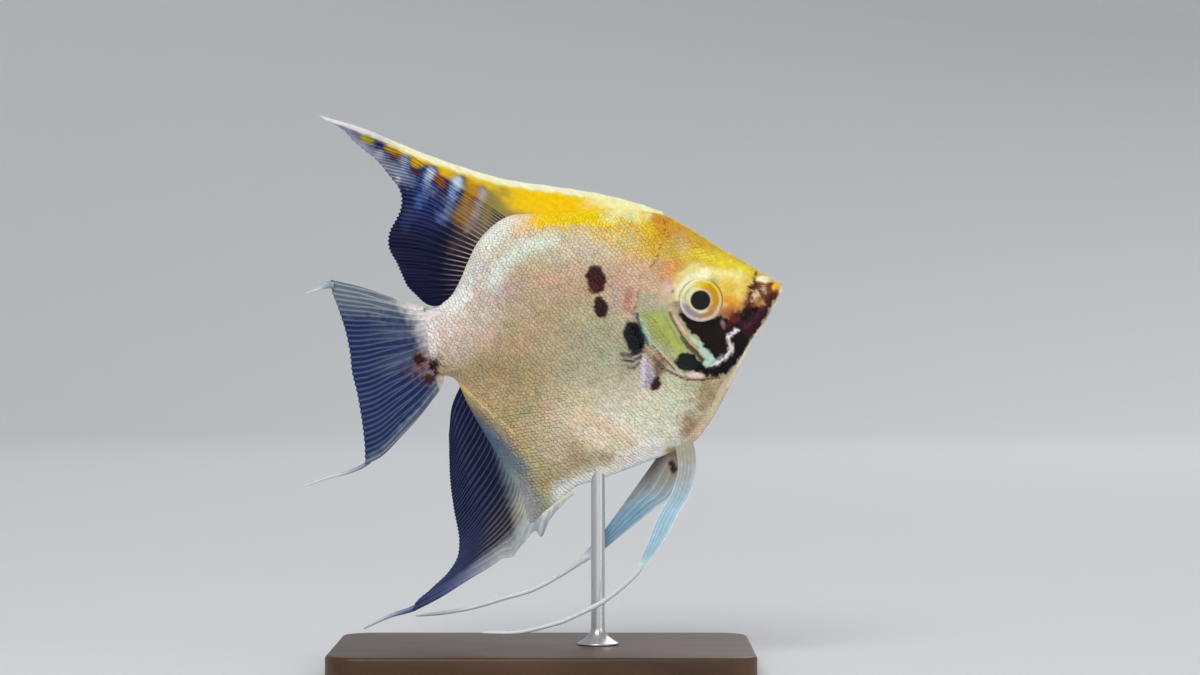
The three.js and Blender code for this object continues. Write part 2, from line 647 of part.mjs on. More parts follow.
/** The room that every fin and rod leaves clear around the body. */
const berth = bodySolid(GAP);
const addFin = (name, shape, finish) => {
  addPiece(fish, name, largest(fin(shape).subtract(berth)), finish);
};
addFin('dorsal_fin_spiny', {
  place: spinyDorsal, rays: DORSAL_SPINES, steps: 3, foot: SPINE_FOOT, notch: 0.6,
}, GOLD_FIN);
addFin('dorsal_fin_soft', { place: softDorsal, rays: 24, steps: 5, notch: 0.8 }, NAVY_FIN);
addFin('anal_fin_spiny', {
  place: spinyAnal, rays: ANAL_SPINES, steps: 2, foot: SPINE_FOOT, notch: 1.2,
}, SLATE_FIN);
addFin('anal_fin_soft', { place: softAnal, rays: 25, steps: 5, notch: 0.8 }, NAVY_FIN);
addFin('caudal_fin', { place: softCaudal, rays: 16, steps: 5, notch: 0.5 }, SLATE_FIN);
addFin('pelvic_fin_right', { place: rightPelvic, rays: 5, steps: 8 }, PALE_FILAMENT);
addFin('pelvic_fin_left', { place: leftPelvic, rays: 5, steps: 8 }, PALE_FILAMENT);
addFin('pectoral_fin_left', { place: pectoral(1), rays: 10, steps: 3 }, CLEAR_FIN);
addFin('pectoral_fin_right', { place: pectoral(-1), rays: 10, steps: 3 }, CLEAR_FIN);
for (const [name, [steps, rootWidth, endWidth, curve]] of Object.entries(FILAMENTS)) {
  addPiece(fish, name, filament(curve, steps, rootWidth, endWidth), PALE_FILAMENT);
}

// ---------------------------------------------------------------- the stand

/** A flat base with round corners and bevelled rims. */
function standBase() {
  const { length, width, height, corner, bevel } = STAND;
  const halfLength = length / 2 - bevel;
  const halfWide = width / 2 - bevel;
  const shape = new THREE.Shape();
  for (const [sx, sy, from] of [[1, 1, 0], [-1, 1, 1], [-1, -1, 2], [1, -1, 3]]) {
    const start = (from * Math.PI) / 2;
    shape.absarc(sx * (halfLength - corner), sy * (halfWide - corner), corner, start,
      start + Math.PI / 2);
  }
  const geometry = new THREE.ExtrudeGeometry(shape, {
    depth: height - 2 * bevel,
    bevelThickness: bevel,
    bevelSize: bevel,
    bevelSegments: 1,
    curveSegments: 4,
  });
  geometry.translate(0, 0, bevel);
  return solidOf(geometry);
}

/** The rod with its turned foot, upright on the base, and cut to the belly that it carries. */
function standRod() {
  const bellyTop = fish.localToWorld(at(ROD.bodyX, -30));
  const foot = STAND.height + GAP;
  const profile = [
    [0, foot], [ROD.footRadius, foot], [ROD.footRadius, foot + 0.5],
    [0.6 * ROD.footRadius, foot + ROD.footHeight], [ROD.radius, foot + 2.4 * ROD.footHeight],
    [ROD.radius, bellyTop.z], [0, bellyTop.z],
  ].map(([r, z]) => new THREE.Vector2(r, z));
  const geometry = new THREE.LatheGeometry(profile, 20);
  geometry.rotateX(Math.PI / 2);
  geometry.translate(bellyTop.x, 0, 0);
  geometry.applyMatrix4(fish.matrixWorld.clone().invert());
  return largest(solidOf(geometry).subtract(berth));
}

addPiece(model, 'stand_base', standBase(), DARK_WOOD);
addPiece(fish, 'stand_rod', standRod(), STEEL);

export default model;
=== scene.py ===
"""A marble angelfish as a life-size display model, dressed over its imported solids.

The fish is worked out in its own frame, in millimetres: x forward along the body from the root of
the tail, z up, y to its left. A last step turns it nose-up and lifts it to its place on the stand.
"""

import math

import bpy
import numpy as np
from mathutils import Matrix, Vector


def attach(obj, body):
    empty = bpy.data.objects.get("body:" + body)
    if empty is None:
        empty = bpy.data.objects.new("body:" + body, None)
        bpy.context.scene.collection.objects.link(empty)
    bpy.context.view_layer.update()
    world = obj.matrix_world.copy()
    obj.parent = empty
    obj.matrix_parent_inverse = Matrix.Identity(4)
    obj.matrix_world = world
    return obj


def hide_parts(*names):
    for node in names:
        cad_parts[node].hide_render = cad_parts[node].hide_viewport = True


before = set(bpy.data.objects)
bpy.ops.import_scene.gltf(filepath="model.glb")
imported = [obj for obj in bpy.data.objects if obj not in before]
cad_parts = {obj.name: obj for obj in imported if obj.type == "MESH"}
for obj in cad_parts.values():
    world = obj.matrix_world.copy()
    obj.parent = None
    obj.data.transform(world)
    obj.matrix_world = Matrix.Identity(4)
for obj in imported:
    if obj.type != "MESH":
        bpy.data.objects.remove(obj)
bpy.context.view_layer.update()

bl_info = {
    "name": "Marble Angelfish",
    "version": (1, 0, 0),
    "blender": (4, 5, 0),
    "location": "View3D > Sidebar > Angelfish",
    "description": "Skin, scales, eyes, fins and display stand of a marble angelfish",
    "category": "Object",
}

ROOT = "root"
MM = 0.001
TURN = 2 * math.pi
SIDES = ((1, "left"), (-1, "right"))

# ------------------------------------------------------------------ the fish's frame and body

PITCH = math.radians(9)
FISH_X = -23.5
FISH_Z = 69.85

HALF_WIDTH = 6.4
SHOULDER_X = 45
TAIL_THINNING = 3
SNOUT_X = 76
SNOUT_THINNING = 3.2
BACK_REACH = 26
BELLY_REACH = 36
EDGE_POWER = 4
EDGE_ROUNDING = 0.62
SHEATH_LENGTH = 11
SHEATH_THINNING = 0.5

HUB = (35, -3)
SHEATH_STEM = (4, -8)
BELLY_CORNER = (25.6, -35.3)

BODY_OUTLINE = [
    # tip of the lower jaw, the notch of the mouth and the upper lip
    (76.1, 0.2), (75.6, 1.4), (74.5, 1.6), (73.9, 2.9), (72.9, 3.7), (71.8, 3.8),
    # step behind the lip, forehead and nape
    (71.2, 4.8), (68.2, 7.4), (64.3, 10.5), (60.6, 13.9), (56.7, 17.1), (53.8, 19.2),
    # back under the spiny dorsal fin
    (48.6, 21.1), (42.3, 22.5), (33.5, 23.4), (25.6, 24.2),
    # root of the soft dorsal fin, down to the tail stem
    (20.2, 24.5), (16.5, 23), (12.7, 20), (9.9, 16.1), (7.4, 12.1), (4.9, 9.2),
    # tail stem and the root of the tail fin
    (1.9, 7.8), (-0.6, 7), (-1.3, 3.5), (-1.3, -3), (-0.7, -6.3), (1.4, -7.3),
    # hind edge of the scaly sheath over the anal fin, and its lower edge
    (3.3, -8.4), (5, -13.8), (7.3, -20.1), (11.2, -29.4), (13.4, -36.3), (14.4, -41.6),
    (17.5, -39.8), (21.5, -37.4), BELLY_CORNER,
    # belly, pelvic roots and throat
    (31.1, -34.5), (40.1, -32.7), (46.8, -31.3), (51.6, -30), (56.4, -25.8),
    (61.9, -18.7), (67.5, -11.1), (72.8, -4.9), (75, -2.1),
]

# free margin of the dorsal fin, from its front to the root of its tip
DORSAL_EDGE = [(48.8, 22.5), (40.7, 26), (30.3, 29.4), (21, 32.3), (11.9, 36.5), (4, 40.8),
               (-4.6, 46.1)]

EYE = (57.9, 0.05)
EYE_RADIUS = 5.0
EYE_DEPTH = 1.85
EYE_SUNK = 1.25
ORBIT_RADIUS = 4.6  # where the skin closes round the eyeball
PUPIL_RADIUS = 2.22
NOSTRIL = (69, 2.6)

SCALE_COAT = 0.14  # depth of the scales over the skin
SKIN_INSET = 0.1  # and how far the skin's edge is drawn in for them
RAY_MEMBRANE = 0.09  # half the thickness of a fin between its rays
RAY_HEIGHT = 0.15  # height of a fin ray over each face

# edges on the head, from the fish's top to its throat
GILL_EDGE_POINTS = [
    (50.4, 10.6), (47.4, 7.2), (44.6, 2.3), (43.1, -2.9), (44, -7.8), (47.6, -12.8),
    (53.5, -16.5), (59.2, -16.8),
]
PREOPERCLE_POINTS = [(51.3, -0.2), (51.7, -3.1), (52.3, -5.5), (53.8, -8.1), (55.7, -11), (57.4, -13.4)]
MOUTH = [(75.8, 2.2), (74.4, 1.8), (70.4, -2.4), (68.9, -5.4)]
UPPER_LIP = [(74.1, 2.7), (73.4, 2.0), (71.9, 0.5), (70.1, -1.5)]
LOWER_LIP = [(75.6, 0.9), (74.7, 0.2), (73, -1.4), (71.2, -3.4)]
GROOVE = [(71.3, 4.4), (70.9, 3.0), (70.2, 1.0), (70, -0.6)]


# ------------------------------------------------------------------ numbers: ramps, noise, curves


def smoothstep(low, high, value):
    """0 below low, 1 above high, and the cubic 3t^2 - 2t^3 between."""
    t = np.clip((value - low) / (high - low), 0, 1)
    return t * t * (3 - 2 * t)


def mix(a, b, share):
    """a where share is 0 and b where it is 1, for numbers or for rows of colours."""
    share = np.asarray(share, float)
    if np.ndim(b) and np.shape(b)[-1] == 3:
        share = share[..., None]
    return a * (1 - share) + b * share


def lattice(i, j, seed):
    """A number from 0 to 1 for each cell of a lattice: the fraction of a large sine of its place."""
    return np.mod(np.sin(i * 127.1 + j * 311.7 + seed * 74.7) * 43758.5453, 1.0)


def noise(x, z, size, seed=0, octaves=3):
    """Smooth noise about 0, from -1 to 1: lattice numbers joined by cubic ramps, in finer layers."""
    total = 0.0
    weight = 0.0
    for octave in range(octaves):
        step = size / 2 ** octave
        i, j = np.floor(x / step), np.floor(z / step)
        a, b = smoothstep(0, 1, x / step - i), smoothstep(0, 1, z / step - j)
        low, high = lattice(i, j, seed + octave), lattice(i, j + 1, seed + octave)
        low = low + a * (lattice(i + 1, j, seed + octave) - low)
        high = high + a * (lattice(i + 1, j + 1, seed + octave) - high)
        total = total + (2 * (low + b * (high - low)) - 1) / 2 ** octave
        weight += 1 / 2 ** octave
    return total / weight


def spline(points, closed=False, steps=24):
    """A centripetal Catmull-Rom curve: a cubic between neighbours, whose slope at each point comes
    from the points on either side, weighted by the square roots of the chords."""
    p = np.asarray(points, float)
    if closed:
        before, here, after, ahead = np.roll(p, 1, 0), p, np.roll(p, -1, 0), np.roll(p, -2, 0)
    else:
        padded = np.vstack([2 * p[0] - p[1], p, 2 * p[-1] - p[-2]])
        before, here, after, ahead = padded[:-3], padded[1:-2], padded[2:-1], padded[3:]
    chords = [np.sqrt(np.linalg.norm(b - a, axis=1))[:, None]
              for a, b in ((before, here), (here, after), (after, ahead))]
    first, middle, last = chords
    leave = ((here - before) / first - (after - before) / (first + middle)
             + (after - here) / middle) * middle
    arrive = ((after - here) / middle - (ahead - here) / (middle + last)
              + (ahead - after) / last) * middle
    t = np.linspace(0, 1, steps, endpoint=False)[None, :, None]
    h, a, l, r = here[:, None], after[:, None], leave[:, None], arrive[:, None]
    curve = (h * (2 * t ** 3 - 3 * t ** 2 + 1) + l * (t ** 3 - 2 * t ** 2 + t)
             + a * (3 * t ** 2 - 2 * t ** 3) + r * (t ** 3 - t ** 2))
    curve = curve.reshape(-1, p.shape[1])
    return curve if closed else np.vstack([curve, p[-1]])


def lengths(curve):
    """Distance along a curve from its start to each of its points."""
    return np.concatenate([[0], np.cumsum(np.linalg.norm(np.diff(curve, axis=0), axis=1))])


def along(curve, share):
    """Points of a curve at shares of its length, each coordinate read between the samples."""
    run = lengths(curve)
    return np.stack([np.interp(share * run[-1], run, axis) for axis in curve.T], -1)


def distance_to(path, x, z):
    """Distance from each point to a path: the least over the path's straight stretches."""
    best = np.full(np.shape(x), 1e9)
    for (ax, az), (bx, bz) in zip(path[:-1], path[1:]):
        dx, dz = bx - ax, bz - az
        t = np.clip(((x - ax) * dx + (z - az) * dz) / (dx * dx + dz * dz), 0, 1)
        best = np.minimum(best, np.hypot(x - ax - t * dx, z - az - t * dz))
    return best


def depth_inside(outline, x, z):
    """Distance to a closed outline, positive inside it: a ray to the right crosses it oddly often."""
    loop = np.vstack([outline, outline[:1]])
    odd = np.zeros(np.shape(x), bool)
    for (ax, az), (bx, bz) in zip(loop[:-1], loop[1:]):
        if az != bz:
            odd ^= ((az > z) != (bz > z)) & (x < ax + (z - az) / (bz - az) * (bx - ax))
    return np.where(odd, 1, -1) * distance_to(loop, x, z)


# ------------------------------------------------------------------ the body's form

GILL_EDGE = spline(GILL_EDGE_POINTS, steps=6)
PREOPERCLE = spline(PREOPERCLE_POINTS, steps=6)
HEAD_SIDE = np.vstack([[(55.2, 30), (53, 16)], GILL_EDGE, [(64.6, -15), (72, -30), (90, 0)]])

OUTLINE = spline(BODY_OUTLINE, closed=True, steps=12)


def about_hub(x, z):
    """Distance from the hub and angle about it."""
    return np.hypot(x - HUB[0], z - HUB[1]), np.arctan2(z - HUB[1], x - HUB[0])


# the outline's radii in the order of their angles
OUTLINE_RADII, OUTLINE_ANGLES = about_hub(*OUTLINE.T)
OUTLINE_ANGLES = np.mod(OUTLINE_ANGLES, TURN)
OUTLINE_RADII = OUTLINE_RADII[np.argsort(OUTLINE_ANGLES)]
OUTLINE_ANGLES = np.sort(OUTLINE_ANGLES)


def outline_radius(angle):
    """Distance from the hub to the body's outline at an angle, read between its samples."""
    return np.interp(np.mod(angle, TURN), OUTLINE_ANGLES, OUTLINE_RADII, period=TURN)


def half_thickness(x, z):
    """Half the body's breadth: its width at x, thinned parabolically towards back and belly, rounded
    over as (1 - reach^4)^0.62 towards the outline, and thinned again over the sheath."""
    back = np.maximum(0, SHOULDER_X - x) / SHOULDER_X
    ahead = np.maximum(0, x - SHOULDER_X) / (SNOUT_X - SHOULDER_X)
    width = HALF_WIDTH - TAIL_THINNING * back ** 2 - SNOUT_THINNING * ahead ** 1.5
    far, angle = about_hub(x, z)
    reach = far / outline_radius(angle)
    edge = (1 - np.minimum(1, reach) ** EDGE_POWER) ** EDGE_ROUNDING
    flank = 1 - 0.5 * (z / np.where(z > 0, BACK_REACH, BELLY_REACH)) ** 2
    ax, az = BELLY_CORNER[0] - SHEATH_STEM[0], BELLY_CORNER[1] - SHEATH_STEM[1]
    beyond = -((x - SHEATH_STEM[0]) * -az + (z - SHEATH_STEM[1]) * ax) / math.hypot(ax, az)
    return width * flank * edge * (1 - SHEATH_THINNING * smoothstep(0, SHEATH_LENGTH, beyond))


def bump(distance, width):
    """A smooth ridge, 1 on its line and near 0 beyond the width: exp(-(d / width)^2)."""
    return np.exp(-(distance / width) ** 2)


def relief(x, z):
    """What the head's plates, lips and pits add to the body's form, in millimetres."""
    to_gill = distance_to(GILL_EDGE, x, z)
    ahead = depth_inside(HEAD_SIDE, x, z) > 0
    gill_plate = np.where(ahead, smoothstep(0, 0.7, to_gill) * smoothstep(15, 6, to_gill), 0)
    gill_slit = np.where(ahead, 0, bump(to_gill, 0.55))
    cheek = distance_to(PREOPERCLE, x, z)
    radius = np.hypot(x - EYE[0], z - EYE[1])
    orbit = bump(radius - ORBIT_RADIUS - 0.35, 0.5)
    socket = smoothstep(ORBIT_RADIUS + 0.05, ORBIT_RADIUS - 0.35, radius)
    brow = bump(radius - 6.4, 0.9) * smoothstep(-2, 3, z - EYE[1] - 0.6 * (x - EYE[0]))
    mouth = distance_to(MOUTH, x, z)
    upper = distance_to(UPPER_LIP, x, z)
    lower = distance_to(LOWER_LIP, x, z)
    groove = distance_to(GROOVE, x, z)
    pit = np.hypot(x - NOSTRIL[0], z - NOSTRIL[1])
    # heights of the ridges and depths of the grooves, each with its width
    return (0.32 * gill_plate - 0.3 * gill_slit - 0.16 * bump(cheek, 0.35)
            + 0.1 * bump(cheek - 0.8, 0.5) + 0.2 * orbit + 0.14 * brow - 2.2 * socket
            + 0.34 * bump(upper, 0.5) + 0.34 * bump(lower, 0.5) - 0.55 * bump(mouth, 0.28)
            - 0.22 * bump(groove, 0.3) - 0.5 * bump(pit, 0.36) + 0.12 * bump(pit - 0.75, 0.25)
            + 0.06 * noise(x, z, 5, 3))


def flank(x, z):
    """Height of the skin over the fish's middle plane: the form, with its relief, less the coat."""
    form = half_thickness(x, z)
    edge = smoothstep(0, 1.6, form)
    return np.maximum(0, form + edge * (relief(x, z) - SCALE_COAT))


def level(x, z):
    """Place along the level through the pitched fish."""
    return x * math.cos(PITCH) - z * math.sin(PITCH)


def to_world(points):
    """Points of the fish's frame in millimetres, turned nose-up and lifted, in metres."""
    x, y, z = np.moveaxis(np.asarray(points, float), -1, 0)
    c, s = math.cos(PITCH), math.sin(PITCH)
    return np.stack([x * c - z * s + FISH_X, y, x * s + z * c + FISH_Z], -1) * MM


# ------------------------------------------------------------------ colours and markings


def tone(code):
    """Linear red, green and blue of a hex colour: ((c + 0.055) / 1.055)^2.4, or c / 12.92 if dark."""
    c = np.array([int(code[i:i + 2], 16) for i in (0, 2, 4)]) / 255
    return np.where(c > 0.04045, ((c + 0.055) / 1.055) ** 2.4, c / 12.92)


def blot(x, z, centre, radii, turn=0, soft=0.3, ragged=0.2, grain=1.6, seed=0):
    """1 inside a turned ellipse and 0 outside it, over an edge that noise makes ragged."""
    c, s = math.cos(math.radians(turn)), math.sin(math.radians(turn))
    dx, dz = x - centre[0], z - centre[1]
    reach = np.hypot((dx * c + dz * s) / radii[0], (dz * c - dx * s) / radii[1])
    return smoothstep(1 + soft, 1 - soft, reach + ragged * noise(x, z, grain, seed))


def patch(x, z, outline, soft=0.5, ragged=0.4, grain=1.6, seed=0):
    """1 inside a closed outline and 0 outside it, over a soft edge that noise makes ragged."""
    depth = depth_inside(np.array(outline), x, z) + ragged * noise(x, z, grain, seed)
    return smoothstep(-soft, soft, depth)


def streak(x, z, path, width, soft=0.5, ragged=0.0, grain=1.0, seed=0):
    """1 on a path and 0 beyond half its width, over a soft, ragged edge."""
    away = distance_to(np.array(path), x, z) + ragged * noise(x, z, grain, seed)
    return smoothstep(width / 2 * (1 + soft), width / 2 * (1 - soft), away)


# the lines that the markings follow: the back, the dorsal fin's margin, the edge of the scaly sheath
# over the anal fin, and the field behind that edge
BACK = spline([(74, 2.6), (71.2, 4.8), (64.3, 10.5), (56.7, 17.1), (53.8, 19.2), (48.6, 21.1),
               (42.3, 22.5), (33.5, 23.4), (25.6, 24.2), (20.2, 24.5), (14, 25)], steps=2)
MARGIN_LINE = [(56, 18), *DORSAL_EDGE, (-16.5, 52.7)]
SHEATH_LINE = [(0.7, -6.4), (1.9, -7.5), (4.9, -10.6), (8.2, -14.4), (11.1, -18.1), (14, -21.8),
               (17.3, -26.7), (19, -32.4), (19.4, -37.2)]
SHEATH_FIELD = SHEATH_LINE + [(17, -46), (0, -46), (0, -6)]

# The markings, laid on in this order. Each has its kind, colour and strength, then what its kind
# takes: the place, the size, the softness, how ragged the edge is, its grain and its seed.
FLANK_MARKS = [
    (patch, "e8bc50", 0.85, [(37.3, 22.1), (48.4, 21.9), (52.4, 19.9), (53.4, 9.9), (47.5, 9.1),
     (41.6, 13), (37.3, 16.7)], 1.6, 1.6, 1.4, 38),
    (patch, "dcb08c", 0.8, [(38.6, 11.4), (46.8, 11.8), (53.3, 9), (53.2, 3), (48.2, -0.1),
     (40.7, 0.2), (37.9, 4.1)], 1.6, 1.2, 1.2, 39),
    (blot, "aeac8e", 0.8, (32, -7), (11, 9), 20, 0.9),
    (blot, "bca27c", 0.8, (15.2, -4.3), (15, 8), 35, 0.9),
    (blot, "b29c68", 0.8, (17.1, -19.3), (14, 8), -50, 0.8),
    (blot, "a5946a", 0.6, (13.4, -8.8), (9, 4), -40, 0.9, 0.4),
    (blot, "b4b494", 0.5, (36.6, -14.8), (4, 8), 10, 0.9, 0.4),
    (blot, "f0dcc0", 0.85, (31.1, -22.4), (12, 8), 10, 0.9, 0.3),
    (blot, "dcc3b4", 0.7, (4.5, 0), (7, 5), 0, 0.8),
    (blot, "c9a886", 0.8, (29, 7.9), (13, 4.6), -10, 0.7),
    (streak, "d9b4a0", 0.6, [(13.8, 7.1), (22.7, 9.3), (34.7, 9.8)], 1.3, 0.9, 0.5),
    (streak, "d0ae94", 0.5, [(15.3, 3), (24.2, 5), (34.5, 4.7)], 1.2, 0.9, 0.5),
    (blot, "f2efd6", 0.9, (42.6, -25.9), (11, 8), 0, 0.9, 0.3),
    (blot, "dde0c4", 0.7, (47.8, -20.3), (5, 6), 30, 0.9),
    (blot, "b59f78", 0.7, (29.8, -30.4), (7, 3), 15, 0.8, 0.5),
    (blot, "c9b692", 0.5, (19.1, -27.2), (8, 5), -35, 0.8),
    (blot, "e2cdc6", 0.6, (10.8, 7.1), (5, 9), -35, 0.7),
    (blot, "b9a3a0", 0.4, (17.3, 8.7), (5, 4), 0, 0.8),
    (streak, "eceae2", 0.8, [(4.3, 6), (7, 10.3), (10.8, 15.8), (15.4, 20.2), (20.2, 22.9),
     (25.4, 23.4)], 5.4, 0.8, 0.5),
    (streak, "e4ecdc", 0.8, [(14.4, 10.9), (18.2, 14.6), (22.3, 17.4), (28.9, 18.5)], 3.6, 0.9, 0.5),
    (streak, "e0d3a0", 0.7, [(26.7, 21), (34.2, 20.7), (41.5, 18.7), (47.3, 14.7)], 4.2, 0.9, 0.6),
    (streak, "fbf7f2", 0.95, [(1.1, 7.6), (4.4, 7.5), (8.1, 9.5)], 3.2, 0.8),
    (blot, "f2ddd2", 0.6, (2.3, 2.9), (4.5, 3), 0, 0.8),
    (streak, "fbf2ee", 0.95, [(-1.2, 7.5), (-1.1, 3), (-1.1, -0.9)], 4.0, 0.8, 0.5),
    (streak, "a8a060", 0.6, [(15.4, 25.4), (19.1, 26.9), (23.4, 27.1)], 2.0, 0.9, 0.4),
    (blot, "e8d070", 0.6, (43.5, 17.7), (6.5, 3.2), -15, 0.8, 0.9, 1.0, 45),
    (blot, "fffaa4", 0.9, (46.5, 20.2), (4.6, 1.6), -14, 0.8, 0.9, 0.9, 46),
    (blot, "f6ecb4", 0.8, (47.8, 17.7), (0.9, 2.2), 15, 0.8, 0.9, 0.8, 47),
    (blot, "94744a", 0.65, (32.2, -30.5), (1.5, 1.0), 20, 0.8, 1.0, 0.7, 48),
    (blot, "94744a", 0.6, (34.4, -30), (1.3, 0.8), 20, 0.8, 1.0, 0.7, 49),
    (blot, "a08a58", 0.5, (26.1, -26.7), (1.6, 2.6), 10, 0.9, 1.0, 0.7, 50),
    (blot, "a48a5c", 0.5, (31.1, -30.1), (4.5, 2.2), 22, 0.9, 0.7),
    # these two: the pale lower belly, whitened past its cream as painted light against the shade of its
    # down-facing surface
    (blot, "fffaf0", 1, (40.3, -29.6), (4.6, 2.2), 22, 0.8, 0.6),
    (blot, "fff6e0", 0.6, (34.8, -26), (4.5, 3.0), 20, 0.9, 0.7),
    (blot, "c8b084", 0.6, (13.1, -14.8), (4.5, 4.5), 0, 0.9, 0.7),
    (streak, "fffdf0", 0.8, [(14.4, 19.1), (17.6, 22), (21.1, 23.4), (25, 23.8)], 3.0, 0.9, 0.6),
    (streak, "ecc8a0", 0.6, [(28.7, -18.5), (32.7, -23.1), (37.8, -27.7)], 2.4, 0.9, 0.7),
]
EDGE_MARKS = [
    # these two: the belly's cream edge band, with a painted highlight laid along it
    (streak, "fff8ec", 0.8, [(21.1, -36.5), (25, -34.8), (30, -33.5), (33.7, -33.1), (37.2, -32.6),
     (41.1, -31.5), (44.9, -30.4), (48.4, -29.9)], 4.2, 0.9, 0.5),
    (streak, "fffdf6", 1, [(21, -36.9), (25, -35.2), (29.9, -33.9), (33.6, -33.5), (37.2, -33),
     (41, -31.9), (44.8, -30.8)], 2.6, 0.5),
    (blot, "b49c64", 0.85, (47.2, -30.7), (2.2, 1.2), -15, 0.6, 0.6),
    (blot, "a87c60", 0.7, (50.9, -26.8), (1.5, 2.6), -12, 0.8, 1.2, 0.6, 51),
    (streak, "f0dcc0", 0.7, [(51.2, -29), (54.8, -26.3), (58.8, -21.6), (62.9, -16.2)], 1.8, 0.8),
    (streak, "f4d890", 0.6, SHEATH_LINE[:6], 0.7, 0.7, 0.2),
    (streak, "d0b878", 0.4, SHEATH_LINE[5:], 1.2, 0.9, 0.6, 0.8, 52),
    (blot, "8c94a2", 0.65, (14.9, -37.7), (2.4, 5), 20, 0.9, 0.6),
    (blot, "9aa29c", 0.55, (17.6, -38.3), (3, 3), 0, 0.9, 0.6),
]
LACE = [(64.7, -7.6), (63.3, -7.9), (62.6, -8.8), (62.6, -10.1), (62.9, -11.2), (62.2, -12.2),
        (61, -12.9), (59.6, -13.5), (58.1, -13.9)]
BLACK_MARKS = [
    (blot, "34040a", 1, (36.6, 8), (2.0, 3.1), 4, 0.12, 0.2, 0.9, 3),
    (blot, "50100e", 0.8, (35.6, 6.2), (1.1, 1.3), 0, 0.3, 0.3, 0.9, 4),
    (blot, "2c0408", 1, (36.6, 1.9), (1.5, 2.4), 4, 0.12, 0.2, 0.9, 5),
    (blot, "0b0a12", 1, (42.6, -5.7), (2.1, 3.6), 8, 0.12, 0.14, 1.2, 6),
    (streak, "1a1a2c", 0.9, [(43.9, -8.4), (41.3, -9.3), (39.5, -8.6)], 0.9, 0.5),
    (streak, "1a1a2c", 0.9, [(43.4, -9.9), (41.3, -10.6), (39.7, -9.9)], 0.7, 0.5),
    (streak, "25243a", 0.8, [(42.8, -11.1), (41.6, -12), (40.3, -11.5)], 0.6, 0.5),
]
